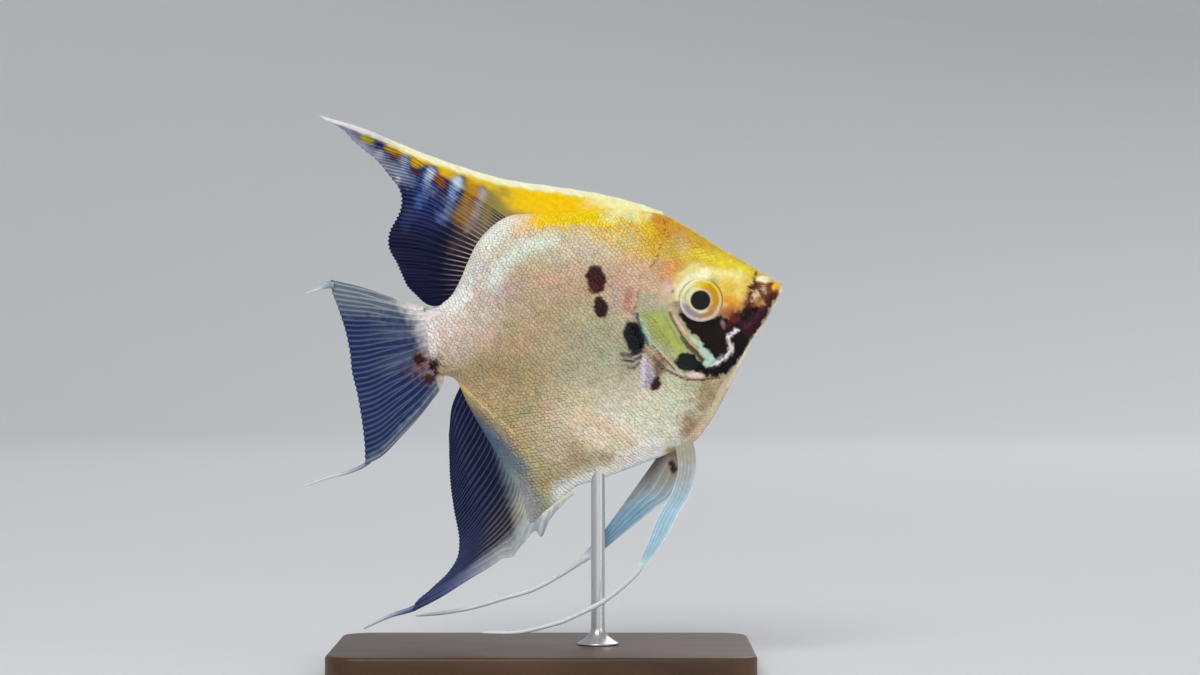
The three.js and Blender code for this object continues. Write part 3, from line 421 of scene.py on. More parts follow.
HEAD_MARKS = [
    (patch, "d8b73a", 1, [(54.7, 23), (60.5, 16.5), (71.2, 6.2), (74.9, 1.1), (69.8, -2.2),
     (62.5, -1), (62.1, 4.8), (56.9, 7.2), (53.5, 5.1), (51.6, 9.3), (52.3, 13.9)], 2.2, 1.2, 1.2,
     40),
    (blot, "e8b414", 0.95, (50.4, 16.4), (3.2, 3.4), 20, 0.8, 0.7, 0.9),
    (blot, "de8c08", 0.85, (52.8, 17.9), (3.4, 1.9), -42, 0.8, 0.7, 0.8),
    (blot, "c48a08", 0.7, (51.9, 14.9), (1.9, 1.5), -30, 0.8, 0.7, 0.8),
    (blot, "f4d42a", 0.7, (49, 17.5), (1.3, 2.8), 20, 0.8, 0.7, 0.8),
    (blot, "e09a5c", 0.8, (52.3, 7.9), (2.8, 1.8), 10, 0.9, 0.8, 0.9),
    (blot, "dcae34", 0.75, (49.2, 13.1), (2.4, 2.4), 30, 0.9, 0.9, 0.8),
    # painted shade along the upper forehead, near its edge
    (blot, "c49a38", 0.6, (57.9, 13.7), (5.5, 1.6), -32, 0.9, 0.6),
    (blot, "ddb68c", 0.5, (55.6, 12.5), (1.6, 2.2), 20, 0.9, 0.7),
    (blot, "ecda3c", 0.75, (63.8, 7.2), (3.6, 1.5), -35, 0.9, 0.4),
    (blot, "ecdf34", 0.8, (67.8, 5.6), (3, 0.9), -35, 0.8, 0.3),
    (blot, "e6cf40", 0.6, (59.4, 9.4), (3, 1.4), -20, 0.9, 0.5),
    (patch, "d6b29a", 0.5, [(39, 8.3), (46.3, 8.4), (50.9, 4.5), (49.5, 1.4), (44.9, -0.4),
     (43.2, -1.4), (39, 0.5)], 1.6, 0.8),
    (blot, "b0665c", 0.6, (42.8, 2.5), (0.9, 2.6), 0, 0.6, 1.2, 0.8),
    (blot, "a79a9e", 0.45, (39.9, 3.6), (1.2, 4), 0, 0.7, 1.0, 0.8),
    (blot, "ecc4c4", 0.6, (51.5, 3.3), (1.7, 1.3), 0, 0.6, 0.4),
    (patch, "f0d268", 0.9, [(62.6, 5.9), (69.1, 4.3), (69.8, 1.5), (68.1, -0.8), (66, -2.5),
     (63.3, -3.3), (62.2, -0.8)], 0.8, 0.5),
    (streak, "fbee9c", 0.9, [(55.4, 5.9), (57.7, 6.6), (60.1, 6), (63.4, 4.8), (66.7, 4.1)], 1.9, 0.9,
     0.4),
    (streak, "e8d890", 0.6, [(52.2, 1), (53.6, 4.2), (55.9, 6.2), (59, 7)], 1.8, 0.9, 0.5),
    (streak, "fffccc", 1, [(53.6, -0.1), (54.2, 2.2), (55.5, 4.1), (57.4, 5.1), (59.8, 5.4)], 2.2,
     0.6, 0.3),
    (streak, "6e5440", 0.75, [(52.7, 0.1), (53.5, -2), (54.7, -3.7)], 1.3, 0.8, 0.5),
    (blot, "8a5a34", 0.7, (52.3, 2.9), (0.4, 0.4), 0, 0.6, 0.4),
    (blot, "e6c23c", 0.8, (64.4, 1), (1.2, 2.6), 0, 0.8, 0.5),
    (blot, "e8a038", 0.85, (65, -1.5), (2.6, 1.0), -25, 0.6, 0.6, 0.7),
    (blot, "e89430", 0.6, (63.8, -2.7), (1.2, 0.8), 0, 0.6, 0.6),
    (blot, "b97c4c", 0.8, (63.1, -3.6), (1.6, 0.9), -10, 0.6, 0.4),
    (blot, "dca052", 0.7, (68.2, -0.1), (0.9, 1.6), 0, 0.6, 0.9, 0.6),
    (blot, "b0663c", 0.75, (63.6, -4), (2.6, 1.3), 25, 0.8, 0.8, 0.9),
    # gill cover
    (patch, "b3b594", 1, [(44.6, 2.7), (44.4, -1), (45.2, -5.8), (47, -8.4), (50.1, -11.5),
     (52.1, -10.6), (53.3, -9.4), (52.2, -6.9), (51.1, -3.5), (50.9, -0.2), (49.8, 1.9), (47.7, 3.2)],
     0.5, 0.3),
    (patch, "a9af60", 0.9, [(45.3, -0.2), (49.9, -0.7), (51.4, -4.2), (53, -8.9), (51.8, -10.6),
     (49.1, -9), (45.9, -5.4)], 1.2, 0.5, 0.9),
    (streak, "b4bd5c", 0.6, [(48.4, -2.6), (49.9, -4.9), (51.1, -7.9), (51.8, -9.8)], 2.2, 0.9, 0.6,
     0.7),
    (streak, "8c9448", 0.7, [(47.3, -2.4), (48.7, -5.4), (50.3, -8.5)], 0.5, 0.8, 0.4, 0.6),
    (streak, "8a8a4a", 0.6, [(49.7, -2.1), (51, -5.3), (52.4, -8.8)], 0.4, 0.8, 0.3, 0.6),
    (blot, "c4ae94", 0.7, (48.6, 1.4), (2.6, 1.2), 0, 0.7, 0.5),
    (streak, "a8cdb8", 0.9, [(44.9, -2), (45.5, -4.4), (45.9, -7.3), (47.2, -9.1)], 0.55, 0.6),
    (streak, "2f6460", 1, [(44.1, -0.7), (44.1, -2.8), (44.8, -5.5), (45.4, -7.5)], 0.6, 0.5),
    (streak, "5d4a38", 0.9, [(46.4, -8.1), (47.7, -10.2), (49.4, -12.5), (50.5, -14.4)], 0.35, 0.6),
    (streak, "e0cdb4", 0.8, [(47, -8.4), (48.4, -10.4), (50.1, -12.9), (51, -14.7)], 0.3, 0.6),
    # black mask below the eye, dark jaw and throat band
    (patch, "0c0807", 1, [(52.9, -2.1), (53.7, -4.6), (54.6, -6.6), (56.3, -7.6), (56.9, -9.5),
     (58.1, -12.1), (57, -13.5), (55.6, -12.1), (55, -11.1), (52.1, -10.4), (50.6, -12),
     (51.1, -13.9), (53.3, -14.6), (55.6, -14.9), (56.6, -16.1), (58.4, -16.6), (62, -16),
     (64.5, -13.6), (67.7, -9.8), (71.5, -5), (74.4, -1.5), (75.2, 0.5), (73.4, 1.4), (72.2, 1.6),
     (70.2, 1.9), (68.5, 0.3), (67.7, -1.9), (66, -3.7), (63.3, -4.7), (62, -3.8), (60.1, -4.1),
     (57.3, -4), (55.4, -2.7)], 0.22, 0.6, 0.7, 7),
    (patch, "361420", 0.9, [(66.6, -3.1), (67.9, -2.1), (69.9, -1.3), (74, 0.5), (74.4, -1.5),
     (71.5, -5), (67.4, -10), (65.6, -8.1), (65.3, -5.2)], 0.9, 0.9, 0.7),
    (streak, "120806", 0.9, [(66.3, -4.9), (68.6, -3.9), (70.7, -2.1)], 1.2, 0.6, 0.9, 0.6, 34),
    (streak, "5c3040", 0.5, [(67.1, -6.9), (69.4, -4.7), (71.3, -2.9)], 0.9, 0.9, 1.4, 0.6, 35),
    (patch, "1e0c08", 0.7, [(55.1, -4.2), (61.7, -6.1), (61.5, -10.2), (57.5, -10.6)], 1.4, 1.2, 0.9,
     44),
    (blot, "6a2a16", 0.8, (64.4, -4.8), (1.9, 1.0), 40, 0.9, 1.4, 0.7, 23),
    (blot, "241417", 0.9, (63.9, -6.9), (1.3, 0.5), -10, 0.4, 0.4),
    (blot, "a47c86", 0.8, (62, -5.6), (0.55, 1.1), 10, 0.5, 0.5, 0.6),
    (blot, "12201a", 1, (52.9, -12.5), (2.3, 1.8), -10, 0.2, 0.3, 1.2, 8),
    (streak, "1e2a20", 0.9, [(53.1, -8.2), (54.3, -9.6), (55.7, -11.4), (57.2, -13.8)], 0.8, 0.5),
    (streak, "16263a", 0.7, [(55.9, -12.9), (57.1, -14.2), (58.4, -14.8)], 0.6, 0.5),
    # pale lace within the mask
    (streak, "b0a2aa", 0.95, LACE, 1.0, 0.9, 0.6, 0.6, 9),
    (streak, "f4ecec", 1, LACE, 0.5, 0.5, 0.5, 0.45, 29),
    (blot, "e8e2dc", 0.8, (62.8, -11.2), (0.6, 0.8), 0, 0.5, 0.9, 0.6, 24),
    (streak, "c6d8bc", 1, [(54.1, -7.2), (55.5, -8.4), (56.6, -9.4), (56, -10.3)], 1.1, 0.5, 0.4, 0.8,
     10),
    (streak, "c8e0d4", 1, [(56.7, -10.8), (57.6, -11.5), (58.2, -12.8), (57.2, -13.5)], 1.5, 0.5, 0.5,
     0.8, 11),
    (streak, "d9b490", 1, [(51.8, -2.2), (52.5, -4.4), (53.7, -6.4), (54.6, -8.5), (55.4, -10.2)],
     0.6, 0.6),
    (streak, "f0d8c0", 0.8, [(52, -2.7), (52.8, -4.7), (53.5, -6.1)], 0.3, 0.6),
    (streak, "60462c", 0.95, [(51.1, -1.4), (51.7, -4.3), (52.7, -6.7), (54.2, -9.1), (55.6, -10.9)],
     0.45, 0.6),
    (streak, "4a5a30", 0.8, [(52.6, -7), (53.6, -9.5), (55.3, -11.1)], 0.5, 0.6),
    # lips and jaw
    (patch, "8a4c26", 0.95, [(68.4, 0.6), (69.9, 2), (72.3, 1.8), (73.5, 0.7), (73.7, -1), (71.5, -3),
     (69.2, -3), (67.2, -2.3)], 0.35, 0.9, 0.6, 25),
    (streak, "2a1008", 0.9, [(68.9, 1.4), (69.3, -0.7), (68, -2.6)], 0.6, 0.7, 0.8, 0.5, 36),
    (streak, "33140c", 0.9, [(71, 1.1), (70.9, -1), (69.5, -2.6)], 0.5, 0.7, 0.8, 0.5, 37),
    (blot, "e3bd96", 0.95, (69.6, -0.8), (1.0, 1.2), 0, 0.4, 1.2, 0.6, 12),
    (blot, "d79a68", 0.85, (70.7, -2.4), (0.9, 0.7), 0, 0.5, 1.0, 0.6, 13),
    (blot, "d9c0a8", 0.8, (71.8, 0.3), (0.6, 0.9), 0, 0.5, 1.0, 0.6, 26),
    (blot, "4a1a12", 0.8, (72.7, -1.5), (0.7, 1.6), -35, 0.5, 0.8, 0.6, 27),
    (blot, "f8f0d4", 1, (72.2, 2.5), (1.6, 0.75), -10, 0.3, 0.3, 0.8, 14),
    (blot, "bfc48c", 0.6, (73, 2.4), (0.6, 0.5), 0, 0.5, 0.3),
    (blot, "4a2818", 0.9, (70.2, 1.3), (0.9, 0.55), 0, 0.4, 0.8, 0.6, 15),
    (streak, "3b2a14", 1, [(70.8, 4.1), (70, 2.3)], 0.5, 0.5),
    (blot, "f0bc3c", 1, (74.6, 0.6), (1.2, 0.9), 50, 0.3, 0.2),
    (blot, "7d2014", 0.9, (74.1, -1), (0.5, 0.9), -30, 0.5, 0.3),
    (streak, "fff4e4", 1, [(76.3, 0.4), (75.1, -2), (71.7, -6.3), (68.1, -10.2), (64.9, -14),
     (63, -16.3), (61.3, -19)], 0.8, 0.6),
    # lower rim of the gill cover, the pectoral root and the throat
    (blot, "6e4a4a", 0.85, (46.9, -12.4), (1.3, 2.2), -5, 0.6, 0.7, 0.8, 43),
    (streak, "e6cfb8", 0.9, [(48.9, -12.9), (50.7, -14.7), (53.2, -15.2)], 0.45, 0.6),
    (blot, "f4d8cc", 1, (54.3, -15.8), (1.5, 0.85), -8, 0.35, 0.6, 0.8, 16),
    (streak, "70402c", 0.9, [(48.6, -13.6), (52.1, -16.2), (55.8, -16.7), (58.8, -16.7)], 0.4, 0.6),
    (blot, "35120f", 1, (45.6, -16), (1.25, 1.7), 10, 0.2, 0.5, 0.9, 17),
    # these two: the pectoral fin's root, coloured lilac with a pale streak as the painted sheen of its
    # rays seen edge-on
    (blot, "b4a4b2", 1, (44, -13.4), (1.4, 3.5), -9, 0.3, 0.35, 0.9, 41),
    (streak, "ece2ea", 0.8, [(43.9, -10.6), (43, -15.6)], 1.1, 0.7, 0.5, 0.8, 42),
    (blot, "9c7c60", 0.6, (51.8, -25.2), (1.8, 3.6), -10, 0.7, 1.2, 0.7, 18),
    (blot, "98805e", 0.6, (55.9, -20.7), (1.6, 3), -20, 0.7, 1.2, 0.7, 28),
]
TAIL_MARKS = [
    (blot, "8a625c", 0.65, (-2.1, -4.7), (3.0, 2.4), 0, 0.8, 1.2, 0.8, 19),
    (blot, "2a0a0c", 1, (-0.6, -4.9), (1.0, 1.7), 0, 0.35, 0.8, 0.8, 20),
    (blot, "35110f", 1, (-3.6, -3.1), (1.2, 1.3), 0, 0.4, 0.8, 0.8, 21),
    (blot, "35110f", 0.9, (-2.1, -7.5), (0.9, 0.9), 0, 0.4, 0.8, 0.8, 22),
    (blot, "2a1c18", 0.8, (-0.8, 7.3), (0.35, 0.4), 0, 0.4, 0.2),
]
DORSAL_MARKS = [
    (streak, "a2a2b4", 0.85, [(-13.8, 49.7), (-9.4, 45), (-5.1, 40.4), (-1.9, 36.8)], 3.0, 0.9, 1.0,
     0.8),
    (blot, "c4c8dc", 0.8, (-5.4, 41.8), (0.9, 0.7), 0, 0.8, 0.8, 0.7),
    (blot, "c8d0e8", 0.9, (-0.4, 40.2), (0.8, 1.0), 10, 0.8, 0.8, 0.7),
    (blot, "9cb4d8", 0.8, (-1, 37.9), (1.4, 1.3), 10, 0.9, 1.0, 0.7),
    (blot, "dce8f8", 0.9, (-2, 36.1), (0.5, 0.6), 0, 0.7, 0.6, 0.7),
    (streak, "3c5094", 0.35, [(1.8, 31.7), (-0.4, 28.6), (-2.2, 26.1)], 2.4, 0.9, 1.2, 0.8),
    (streak, "5674b4", 0.75, [(5.1, 36.8), (3.3, 33.1), (1.5, 30)], 1.9, 0.95, 1.2, 0.8),
    (streak, "a4bce4", 0.75, [(5.1, 36.5), (3.8, 33.6)], 1.2, 0.9, 1.0, 0.7),
    (blot, "e4ecf8", 0.85, (5, 36), (0.9, 1.1), 10, 0.8, 0.8, 0.7),
    (streak, "5a7abc", 0.75, [(10.3, 33.7), (8.1, 29), (6.2, 26.4)], 1.9, 0.95, 1.2, 0.8),
    (streak, "9cbcec", 0.8, [(10.4, 33.7), (8.8, 30.3)], 1.3, 0.9, 1.0, 0.7),
    (blot, "dcecfc", 0.85, (10.3, 33.3), (0.9, 1.1), 20, 0.8, 0.8, 0.7),
    (streak, "c8b8be", 0.75, [(15.7, 30.3), (13.8, 26.9), (10.9, 23.4)], 1.5, 0.95, 1.2, 0.8),
    (blot, "8490b0", 0.7, (0.6, 35.4), (1.3, 1.7), 10, 0.9, 1.0, 0.7),
    (blot, "7484a8", 0.6, (4.5, 32.6), (1.0, 1.5), 10, 0.9, 1.0, 0.7),
    (streak, "5e464c", 0.6, [(11.7, 24.4), (9.5, 21.4), (7.5, 19.5)], 2.4, 0.95, 1.2, 0.8),
    (blot, "a89c18", 0.95, (-7.1, 45.7), (1.6, 1.0), -20, 0.4, 0.4),
    (blot, "d09a10", 0.95, (-2.1, 42.4), (1.8, 1.2), -25, 0.35, 0.4),
    (blot, "6a4030", 0.7, (-1.8, 40.9), (1.3, 0.6), -25, 0.5, 0.5),
    (blot, "e8b80c", 0.95, (2.9, 39.1), (1.7, 1.2), -25, 0.35, 0.4),
    (streak, "6a2c20", 0.85, [(0.9, 38.1), (2.8, 36.4)], 0.7, 0.5, 0.3),
    (blot, "eeb40a", 0.95, (8.7, 36.1), (2.0, 1.5), -30, 0.35, 0.4),
    (blot, "a85f1c", 0.9, (7.1, 33.9), (1.4, 1.1), -30, 0.4, 0.7),
    (streak, "a8710e", 0.9, [(13.7, 32.7), (12, 28.6), (10, 25.3)], 3.0, 0.7, 0.6, 0.9),
    (streak, "c89010", 0.85, [(14.1, 33), (12.6, 30.3)], 2.2, 0.7, 0.5, 0.9),
    (streak, "94803a", 0.8, [(17.3, 30.3), (16.7, 27.5), (14.9, 24.2)], 1.6, 0.7, 0.6),
    (streak, "94863c", 0.9, [(16.9, 27.8), (18.6, 26.9), (20.6, 26.2)], 3.0, 0.8, 0.8, 0.8),
    (streak, "c0a42c", 0.8, [(16.8, 31.6), (20.2, 28)], 1.8, 0.7, 0.6),
]


def lay_on(tint, marks, x, z):
    """Each marking in its turn mixed over the colours so far, worked out only within its box, which
    is that of its places grown by its radii or width and its soft edge."""
    tint = tint.copy()
    for kind, colour, strength, *place in marks:
        spots = np.atleast_2d(place[0])
        grow = 2 * max(place[1]) if kind is blot else 1.5 * place[1] + 2
        low, high = spots.min(0) - grow, spots.max(0) + grow
        near = (x > low[0]) & (x < high[0]) & (z > low[1]) & (z < high[1])
        share = strength * kind(x[near], z[near], *place)
        tint[near] = mix(tint[near], tone(colour), share)
    return tint


def wander_off(x, z, size=0.22):
    """The place moved about by two layers of noise, so that every marking's edge is uneven."""
    return (x + size * noise(x, z, 1.5, 61) + 0.5 * size * noise(x, z, 0.5, 62, 2),
            z + size * noise(x, z, 1.5, 63) + 0.5 * size * noise(x, z, 0.5, 64, 2))


def gold_of_back(tint, x, z, above):
    """Gold laid over the back and the fin's root alike: bright in the middle of the back, broken up
    into specks below and on the nape, and pale cream towards the fin's margin."""
    wander, fine = noise(x, z, 4, 31), noise(x, z, 0.9, 32, 2)
    run = level(x, z)
    band = smoothstep(-6.2 - 2 * smoothstep(30, 44, run), -3.2, above + 1.4 * wander)
    band = band * smoothstep(13, 22, run) * smoothstep(60, 52, run)
    specks = smoothstep(-0.25, 0.3, fine + 0.5 * wander)
    tint = mix(tint, tone("e6ac10"), band * (0.25 + 0.6 * specks))
    dots = smoothstep(0.38, 0.6, noise(x, z, 0.45, 65))
    tint = mix(tint, tone("6e5418"), 0.6 * dots * band * smoothstep(-3.0, -5.0, above))
    core = smoothstep(-4.4, -2.8, above + 1.3 * wander) * smoothstep(17, 24, run)
    core = core * smoothstep(44, 36, run + 3 * wander)
    tint = mix(tint, tone("ffd400"), core)
    pale = smoothstep(34, 40, run) * smoothstep(53, 48, run)
    pale = pale * smoothstep(-3.4, -1.6, above + 1.2 * wander + 0.5 * fine)
    return mix(tint, tone("fdf8b0"), 0.9 * pale)


def sheath_tone(z):
    """The tone where the anal fin leaves the body: navy above, teal, then pale grey below."""
    tint = mix(tone("2a3560"), tone("4c6684"), smoothstep(-13, -24, z))
    return mix(mix(tint, tone("7c8890"), smoothstep(-22, -32, z)), tone("c4c2b4"),
               smoothstep(-32, -39, z))


def body_tint(x, z):
    """The colours of skin and scales from their place in the side view: cream, paler above, gold
    along the back, then the markings in turn, and a fine mottle over all."""
    x, z = wander_off(x, z)
    wander, fine = noise(x, z, 4, 31), noise(x, z, 0.9, 32, 2)
    tint = mix(tone("b8a580"), tone("d2c3a4"), smoothstep(-14, 16, z + 2 * wander))
    tint = lay_on(tint, FLANK_MARKS, x, z)
    # the fin's rays show through the sheath behind its pale line
    near = (x < 26) & (z < -2)
    beyond = np.zeros_like(x)
    beyond[near] = smoothstep(0.2, 4.2, depth_inside(np.array(SHEATH_FIELD), x[near], z[near]))
    tint = mix(tint, sheath_tone(z + wander), beyond * (0.95 - 0.35 * smoothstep(-28, -38, z)))
    tint = gold_of_back(tint, x, z, -distance_to(BACK, x, z))
    for marks in (HEAD_MARKS, EDGE_MARKS, BLACK_MARKS, TAIL_MARKS):
        tint = lay_on(tint, marks, x, z)
    # warmer and greener scales among the rest
    warm, green = noise(x, z, 2.4, 66, 2), noise(x, z, 4.5, 67, 2)
    tint = tint * (1 + warm[..., None] * [0.06, -0.02, -0.1]
                   + green[..., None] * [-0.09, 0.02, -0.06])
    return np.clip(tint * (1 + 0.14 * fine + 0.07 * wander)[..., None], 0, 1)


# ------------------------------------------------------------------ meshes


def make_piece(name, points, faces, material, replaces=(), tint=None, clear=None,
               unwrap=None):
    """A finished piece from arrays: its points in the fish's frame or, with to_world done already,
    in metres; faces as one or more arrays of corners; a colour and a clearness for every point; and
    a place on the unwrap for every corner."""
    mesh = bpy.data.meshes.new(name)
    faces = [np.asarray(f, np.int32) for f in (faces if isinstance(faces, list) else [faces])]
    corners = np.concatenate([f.ravel() for f in faces])
    totals = np.concatenate([np.full(len(f), f.shape[1], np.int32) for f in faces])
    starts = np.concatenate([[0], np.cumsum(totals)[:-1]]).astype(np.int32)
    mesh.vertices.add(len(points))
    mesh.vertices.foreach_set("co", np.asarray(points, np.float32).ravel())
    mesh.loops.add(len(corners))
    mesh.loops.foreach_set("vertex_index", corners)
    mesh.polygons.add(len(totals))
    mesh.polygons.foreach_set("loop_start", starts)
    mesh.polygons.foreach_set("loop_total", totals)
    mesh.polygons.foreach_set("use_smooth", np.ones(len(totals), bool))
    if tint is not None:
        layer = mesh.color_attributes.new("Tint", "FLOAT_COLOR", "POINT")
        colours = np.ones((len(points), 4), np.float32)
        colours[:, :3] = tint
        layer.data.foreach_set("color", colours.ravel())
    if clear is not None:
        layer = mesh.attributes.new("Clear", "FLOAT", "POINT")
        layer.data.foreach_set("value", np.asarray(clear, np.float32).ravel())
    if unwrap is not None:
        layer = mesh.uv_layers.new(name="OFBake")
        layer.data.foreach_set("uv", np.asarray(unwrap, np.float32)[corners].ravel())
    mesh.update(calc_edges=True)
    if mesh.validate():
        raise RuntimeError(f"{name}: its mesh had faults")
    mesh.materials.append(material)
    piece = bpy.data.objects.new(name, mesh)
    bpy.context.collection.objects.link(piece)
    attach(piece, ROOT)
    if replaces:
        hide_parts(*replaces)
    return piece


def grid_faces(rows, columns, closed=False, first=0, flip=False):
    """Quads between neighbours of a grid of points numbered row by row, its last column joined to
    its first where it is closed."""
    i, j = np.meshgrid(np.arange(rows - 1), np.arange(columns - (not closed)), indexing="ij")
    k = (j + 1) % columns
    quads = np.stack([i * columns + j, i * columns + k, (i + 1) * columns + k,
                      (i + 1) * columns + j], -1).reshape(-1, 4) + first
    return quads[:, ::-1] if flip else quads


def outward(points, faces):
    """The faces turned so that the solid's volume, the sum of each face's corner triangles against
    the middle, is positive."""
    middle = points.mean(0)
    volume = 0.0
    for f in faces:
        for k in range(1, f.shape[1] - 1):
            a, b, c = (points[f[:, n]] - middle for n in (0, k, k + 1))
            volume += np.einsum("ij,ij->i", a, np.cross(b, c)).sum()
    return [f[:, ::-1] for f in faces] if volume < 0 else faces


def capped(rings, ends):
    """Points and faces of a closed solid: rings of points row by row, and a middle point for either
    end, which a fan of triangles joins to the ring there."""
    rows, count = rings.shape[:2]
    points = np.vstack([rings.reshape(-1, 3), ends])
    k, last = np.arange(count), (rows - 1) * count
    n = (k + 1) % count
    caps = np.vstack([np.stack([n, k, 0 * k + rows * count], -1),
                      np.stack([last + k, last + n, 0 * k + rows * count + 1], -1)])
    return points, outward(points, [grid_faces(rows, count, closed=True), caps])


def turned(radii, heights, sides, x=0.0):
    """Points of a profile turned about the upright axis through x, ring by ring."""
    turn = np.arange(sides) * TURN / sides
    return np.stack([x + radii[:, None] * np.cos(turn), radii[:, None] * np.sin(turn),
                     np.broadcast_to(heights[:, None], (len(radii), sides))], -1)


# ------------------------------------------------------------------ the skin


SKIN_SPOKES, SKIN_RINGS = 380, 118
DISC_RADIUS = 0.24  # of either flank on the unwrap


def spoke_angles(count):
    """Angles about the hub, three times as close on the head as behind: the running sum of a density
    read at even shares."""
    angles = np.linspace(-math.pi, math.pi, 4001)
    density = 1 + 2.2 * smoothstep(math.radians(48), math.radians(40), np.abs(angles))
    run = np.concatenate([[0], np.cumsum((density[1:] + density[:-1]) / 2)])
    return np.interp(np.linspace(0, run[-1], count, endpoint=False), run, angles)


def ring_shares(count):
    """Shares of the way to the outline, closer and closer to 1: 1 - (1 - t)^2.6 mixed with t."""
    t = np.linspace(0, 1, count + 1)[1:]
    return 0.55 * t + 0.45 * (1 - (1 - t) ** 2.6)


def on_skin(share, angle, side):
    """A point of the skin at a share of the way from the hub to the outline, drawn in by the coat,
    with the flank's height for its y."""
    radius = outline_radius(angle)
    far = radius * share
    x, z = HUB[0] + far * np.cos(angle), HUB[1] + far * np.sin(angle)
    height = flank(x, z)
    drawn = far - SKIN_INSET * share ** 8
    return np.stack([HUB[0] + drawn * np.cos(angle), side * height * (share < 1),
                     HUB[1] + drawn * np.sin(angle)], -1)


def skin_unwrap(share, angle, side):
    """Place of a point on the unwrap: each flank a disc about its hub, as far out as the distance
    over the skin, which is the running sum of a spoke's steps."""
    far = UNWRAP * skin_distance(share, angle)
    return np.stack([0.25 + (side > 0) * 0.5 + far * np.cos(angle), 0.5 + far * np.sin(angle)], -1)


TABLE_ANGLES = np.linspace(0, TURN, 721)
TABLE_SHARES = np.concatenate([[0], ring_shares(240)])


def distance_table():
    """Distance over the skin from the hub, for each spoke of the table at each of its shares."""
    share, angle = np.meshgrid(TABLE_SHARES, TABLE_ANGLES)
    radius = outline_radius(angle)
    x, z = HUB[0] + share * radius * np.cos(angle), HUB[1] + share * radius * np.sin(angle)
    y = np.maximum(0, half_thickness(x, z) - SCALE_COAT)
    step = np.sqrt(np.diff(x) ** 2 + np.diff(y) ** 2 + np.diff(z) ** 2)
    return np.concatenate([np.zeros((len(step), 1)), np.cumsum(step, 1)], 1)


SKIN_DISTANCE = distance_table()
UNWRAP = DISC_RADIUS / SKIN_DISTANCE.max()


def table_row(angle):
    """Place of an angle among the table's rows, with the part beyond a whole row."""
    return np.mod(angle, TURN) / TURN * (len(TABLE_ANGLES) - 1)


def skin_distance(share, angle):
    """Distance over the skin from the hub, read between the four nearest entries of the table."""
    a = table_row(angle)
    s = np.interp(share, TABLE_SHARES, np.arange(len(TABLE_SHARES)))
    i, j = np.floor(a).astype(int), np.floor(s).astype(int)
    i, j = np.minimum(i, len(TABLE_ANGLES) - 2), np.minimum(j, len(TABLE_SHARES) - 2)
    low = mix(SKIN_DISTANCE[i, j], SKIN_DISTANCE[i, j + 1], s - j)
    high = mix(SKIN_DISTANCE[i + 1, j], SKIN_DISTANCE[i + 1, j + 1], s - j)
    return mix(low, high, a - i)


def share_from_edge(angle, distance):
    """Share of the way out at which the skin's edge is a distance away over the skin: the table's
    row is searched for the total less the distance."""
    row = np.rint(table_row(angle)).astype(int)
    table = SKIN_DISTANCE + np.arange(len(SKIN_DISTANCE))[:, None] * 1000
    wanted = SKIN_DISTANCE[row, -1] - distance
    return np.interp(wanted + row * 1000, table.ravel(), np.tile(TABLE_SHARES, len(table)))


def skin_mesh(spokes, rings):
    """Points, faces and unwrap of the skin: both flanks' rings about the hub, which share their last
    ring, the edge where the flanks meet."""
    angle, share = spoke_angles(spokes), ring_shares(rings)
    share_grid, angle_grid = np.meshgrid(share[:-1], angle, indexing="ij")
    points, unwrap, faces = [], [], []
    flank_count = 1 + (rings - 1) * spokes
    edge_start = 2 * flank_count
    for side, first in ((1, 0), (-1, flank_count)):
        hub = on_skin(np.zeros(1), np.zeros(1), side)
        hub[:, 1] = side * flank(np.array([HUB[0]]), np.array([HUB[1]]))
        rim = on_skin(share_grid.ravel(), angle_grid.ravel(), side)
        points += [hub, rim]
        unwrap += [skin_unwrap(np.zeros(1), np.zeros(1), side),
                   skin_unwrap(share_grid.ravel(), angle_grid.ravel(), side)]
        k = np.arange(spokes)
        fan = np.stack([np.full(spokes, first), first + 1 + k, first + 1 + (k + 1) % spokes], -1)
        quads = grid_faces(rings - 1, spokes, closed=True, first=first + 1)
        last = first + 1 + (rings - 2) * spokes
        rim_quads = np.stack([last + k, last + (k + 1) % spokes, edge_start + (k + 1) % spokes,
                              edge_start + k], -1)
        if side > 0:
            faces += [fan[:, ::-1], np.vstack([quads, rim_quads])]
        else:
            faces += [fan, np.vstack([quads, rim_quads])[:, ::-1]]
    points.append(on_skin(np.ones(spokes), angle, 1))
    unwrap.append(skin_unwrap(np.ones(spokes), angle, 1))
    return np.vstack(points), faces, np.vstack(unwrap)


# ------------------------------------------------------------------ the scales


SCALE_RIM = 9
# length and width of a scale and spacing of the rows, as shares of the pitch
SCALE_LENGTH, SCALE_WIDTH, SCALE_ROW = 1.9, 1.12, 0.72
HEAD_SCALE = 0.8  # size of the head's scales beside the others
EYE_BARE = 6.8  # radius of the scaleless skin round the eye
FLANK_MARGIN = 2.4  # how far the flank's scales stay from the outline, where the rim's take over
RIM_ROWS = (0.1, 0.5, 0.95, 1.4, 1.9, 2.4, 2.9, 3.4, 3.95)
RIM_STEP, RIM_LENGTH, RIM_WIDTH, RIM_LIFT = 0.8, 1.35, 0.72, 0.1
TAIL_ROOT_X = -0.3  # last of the scales
BARE_HEAD = np.array([(90, 30), (66, 12), (62, 7.5), (58, 7), (52.5, 4), (50, -2), (52, -8),
                      (56, -13), (60, -17.2), (66, -15), (90, -20)])


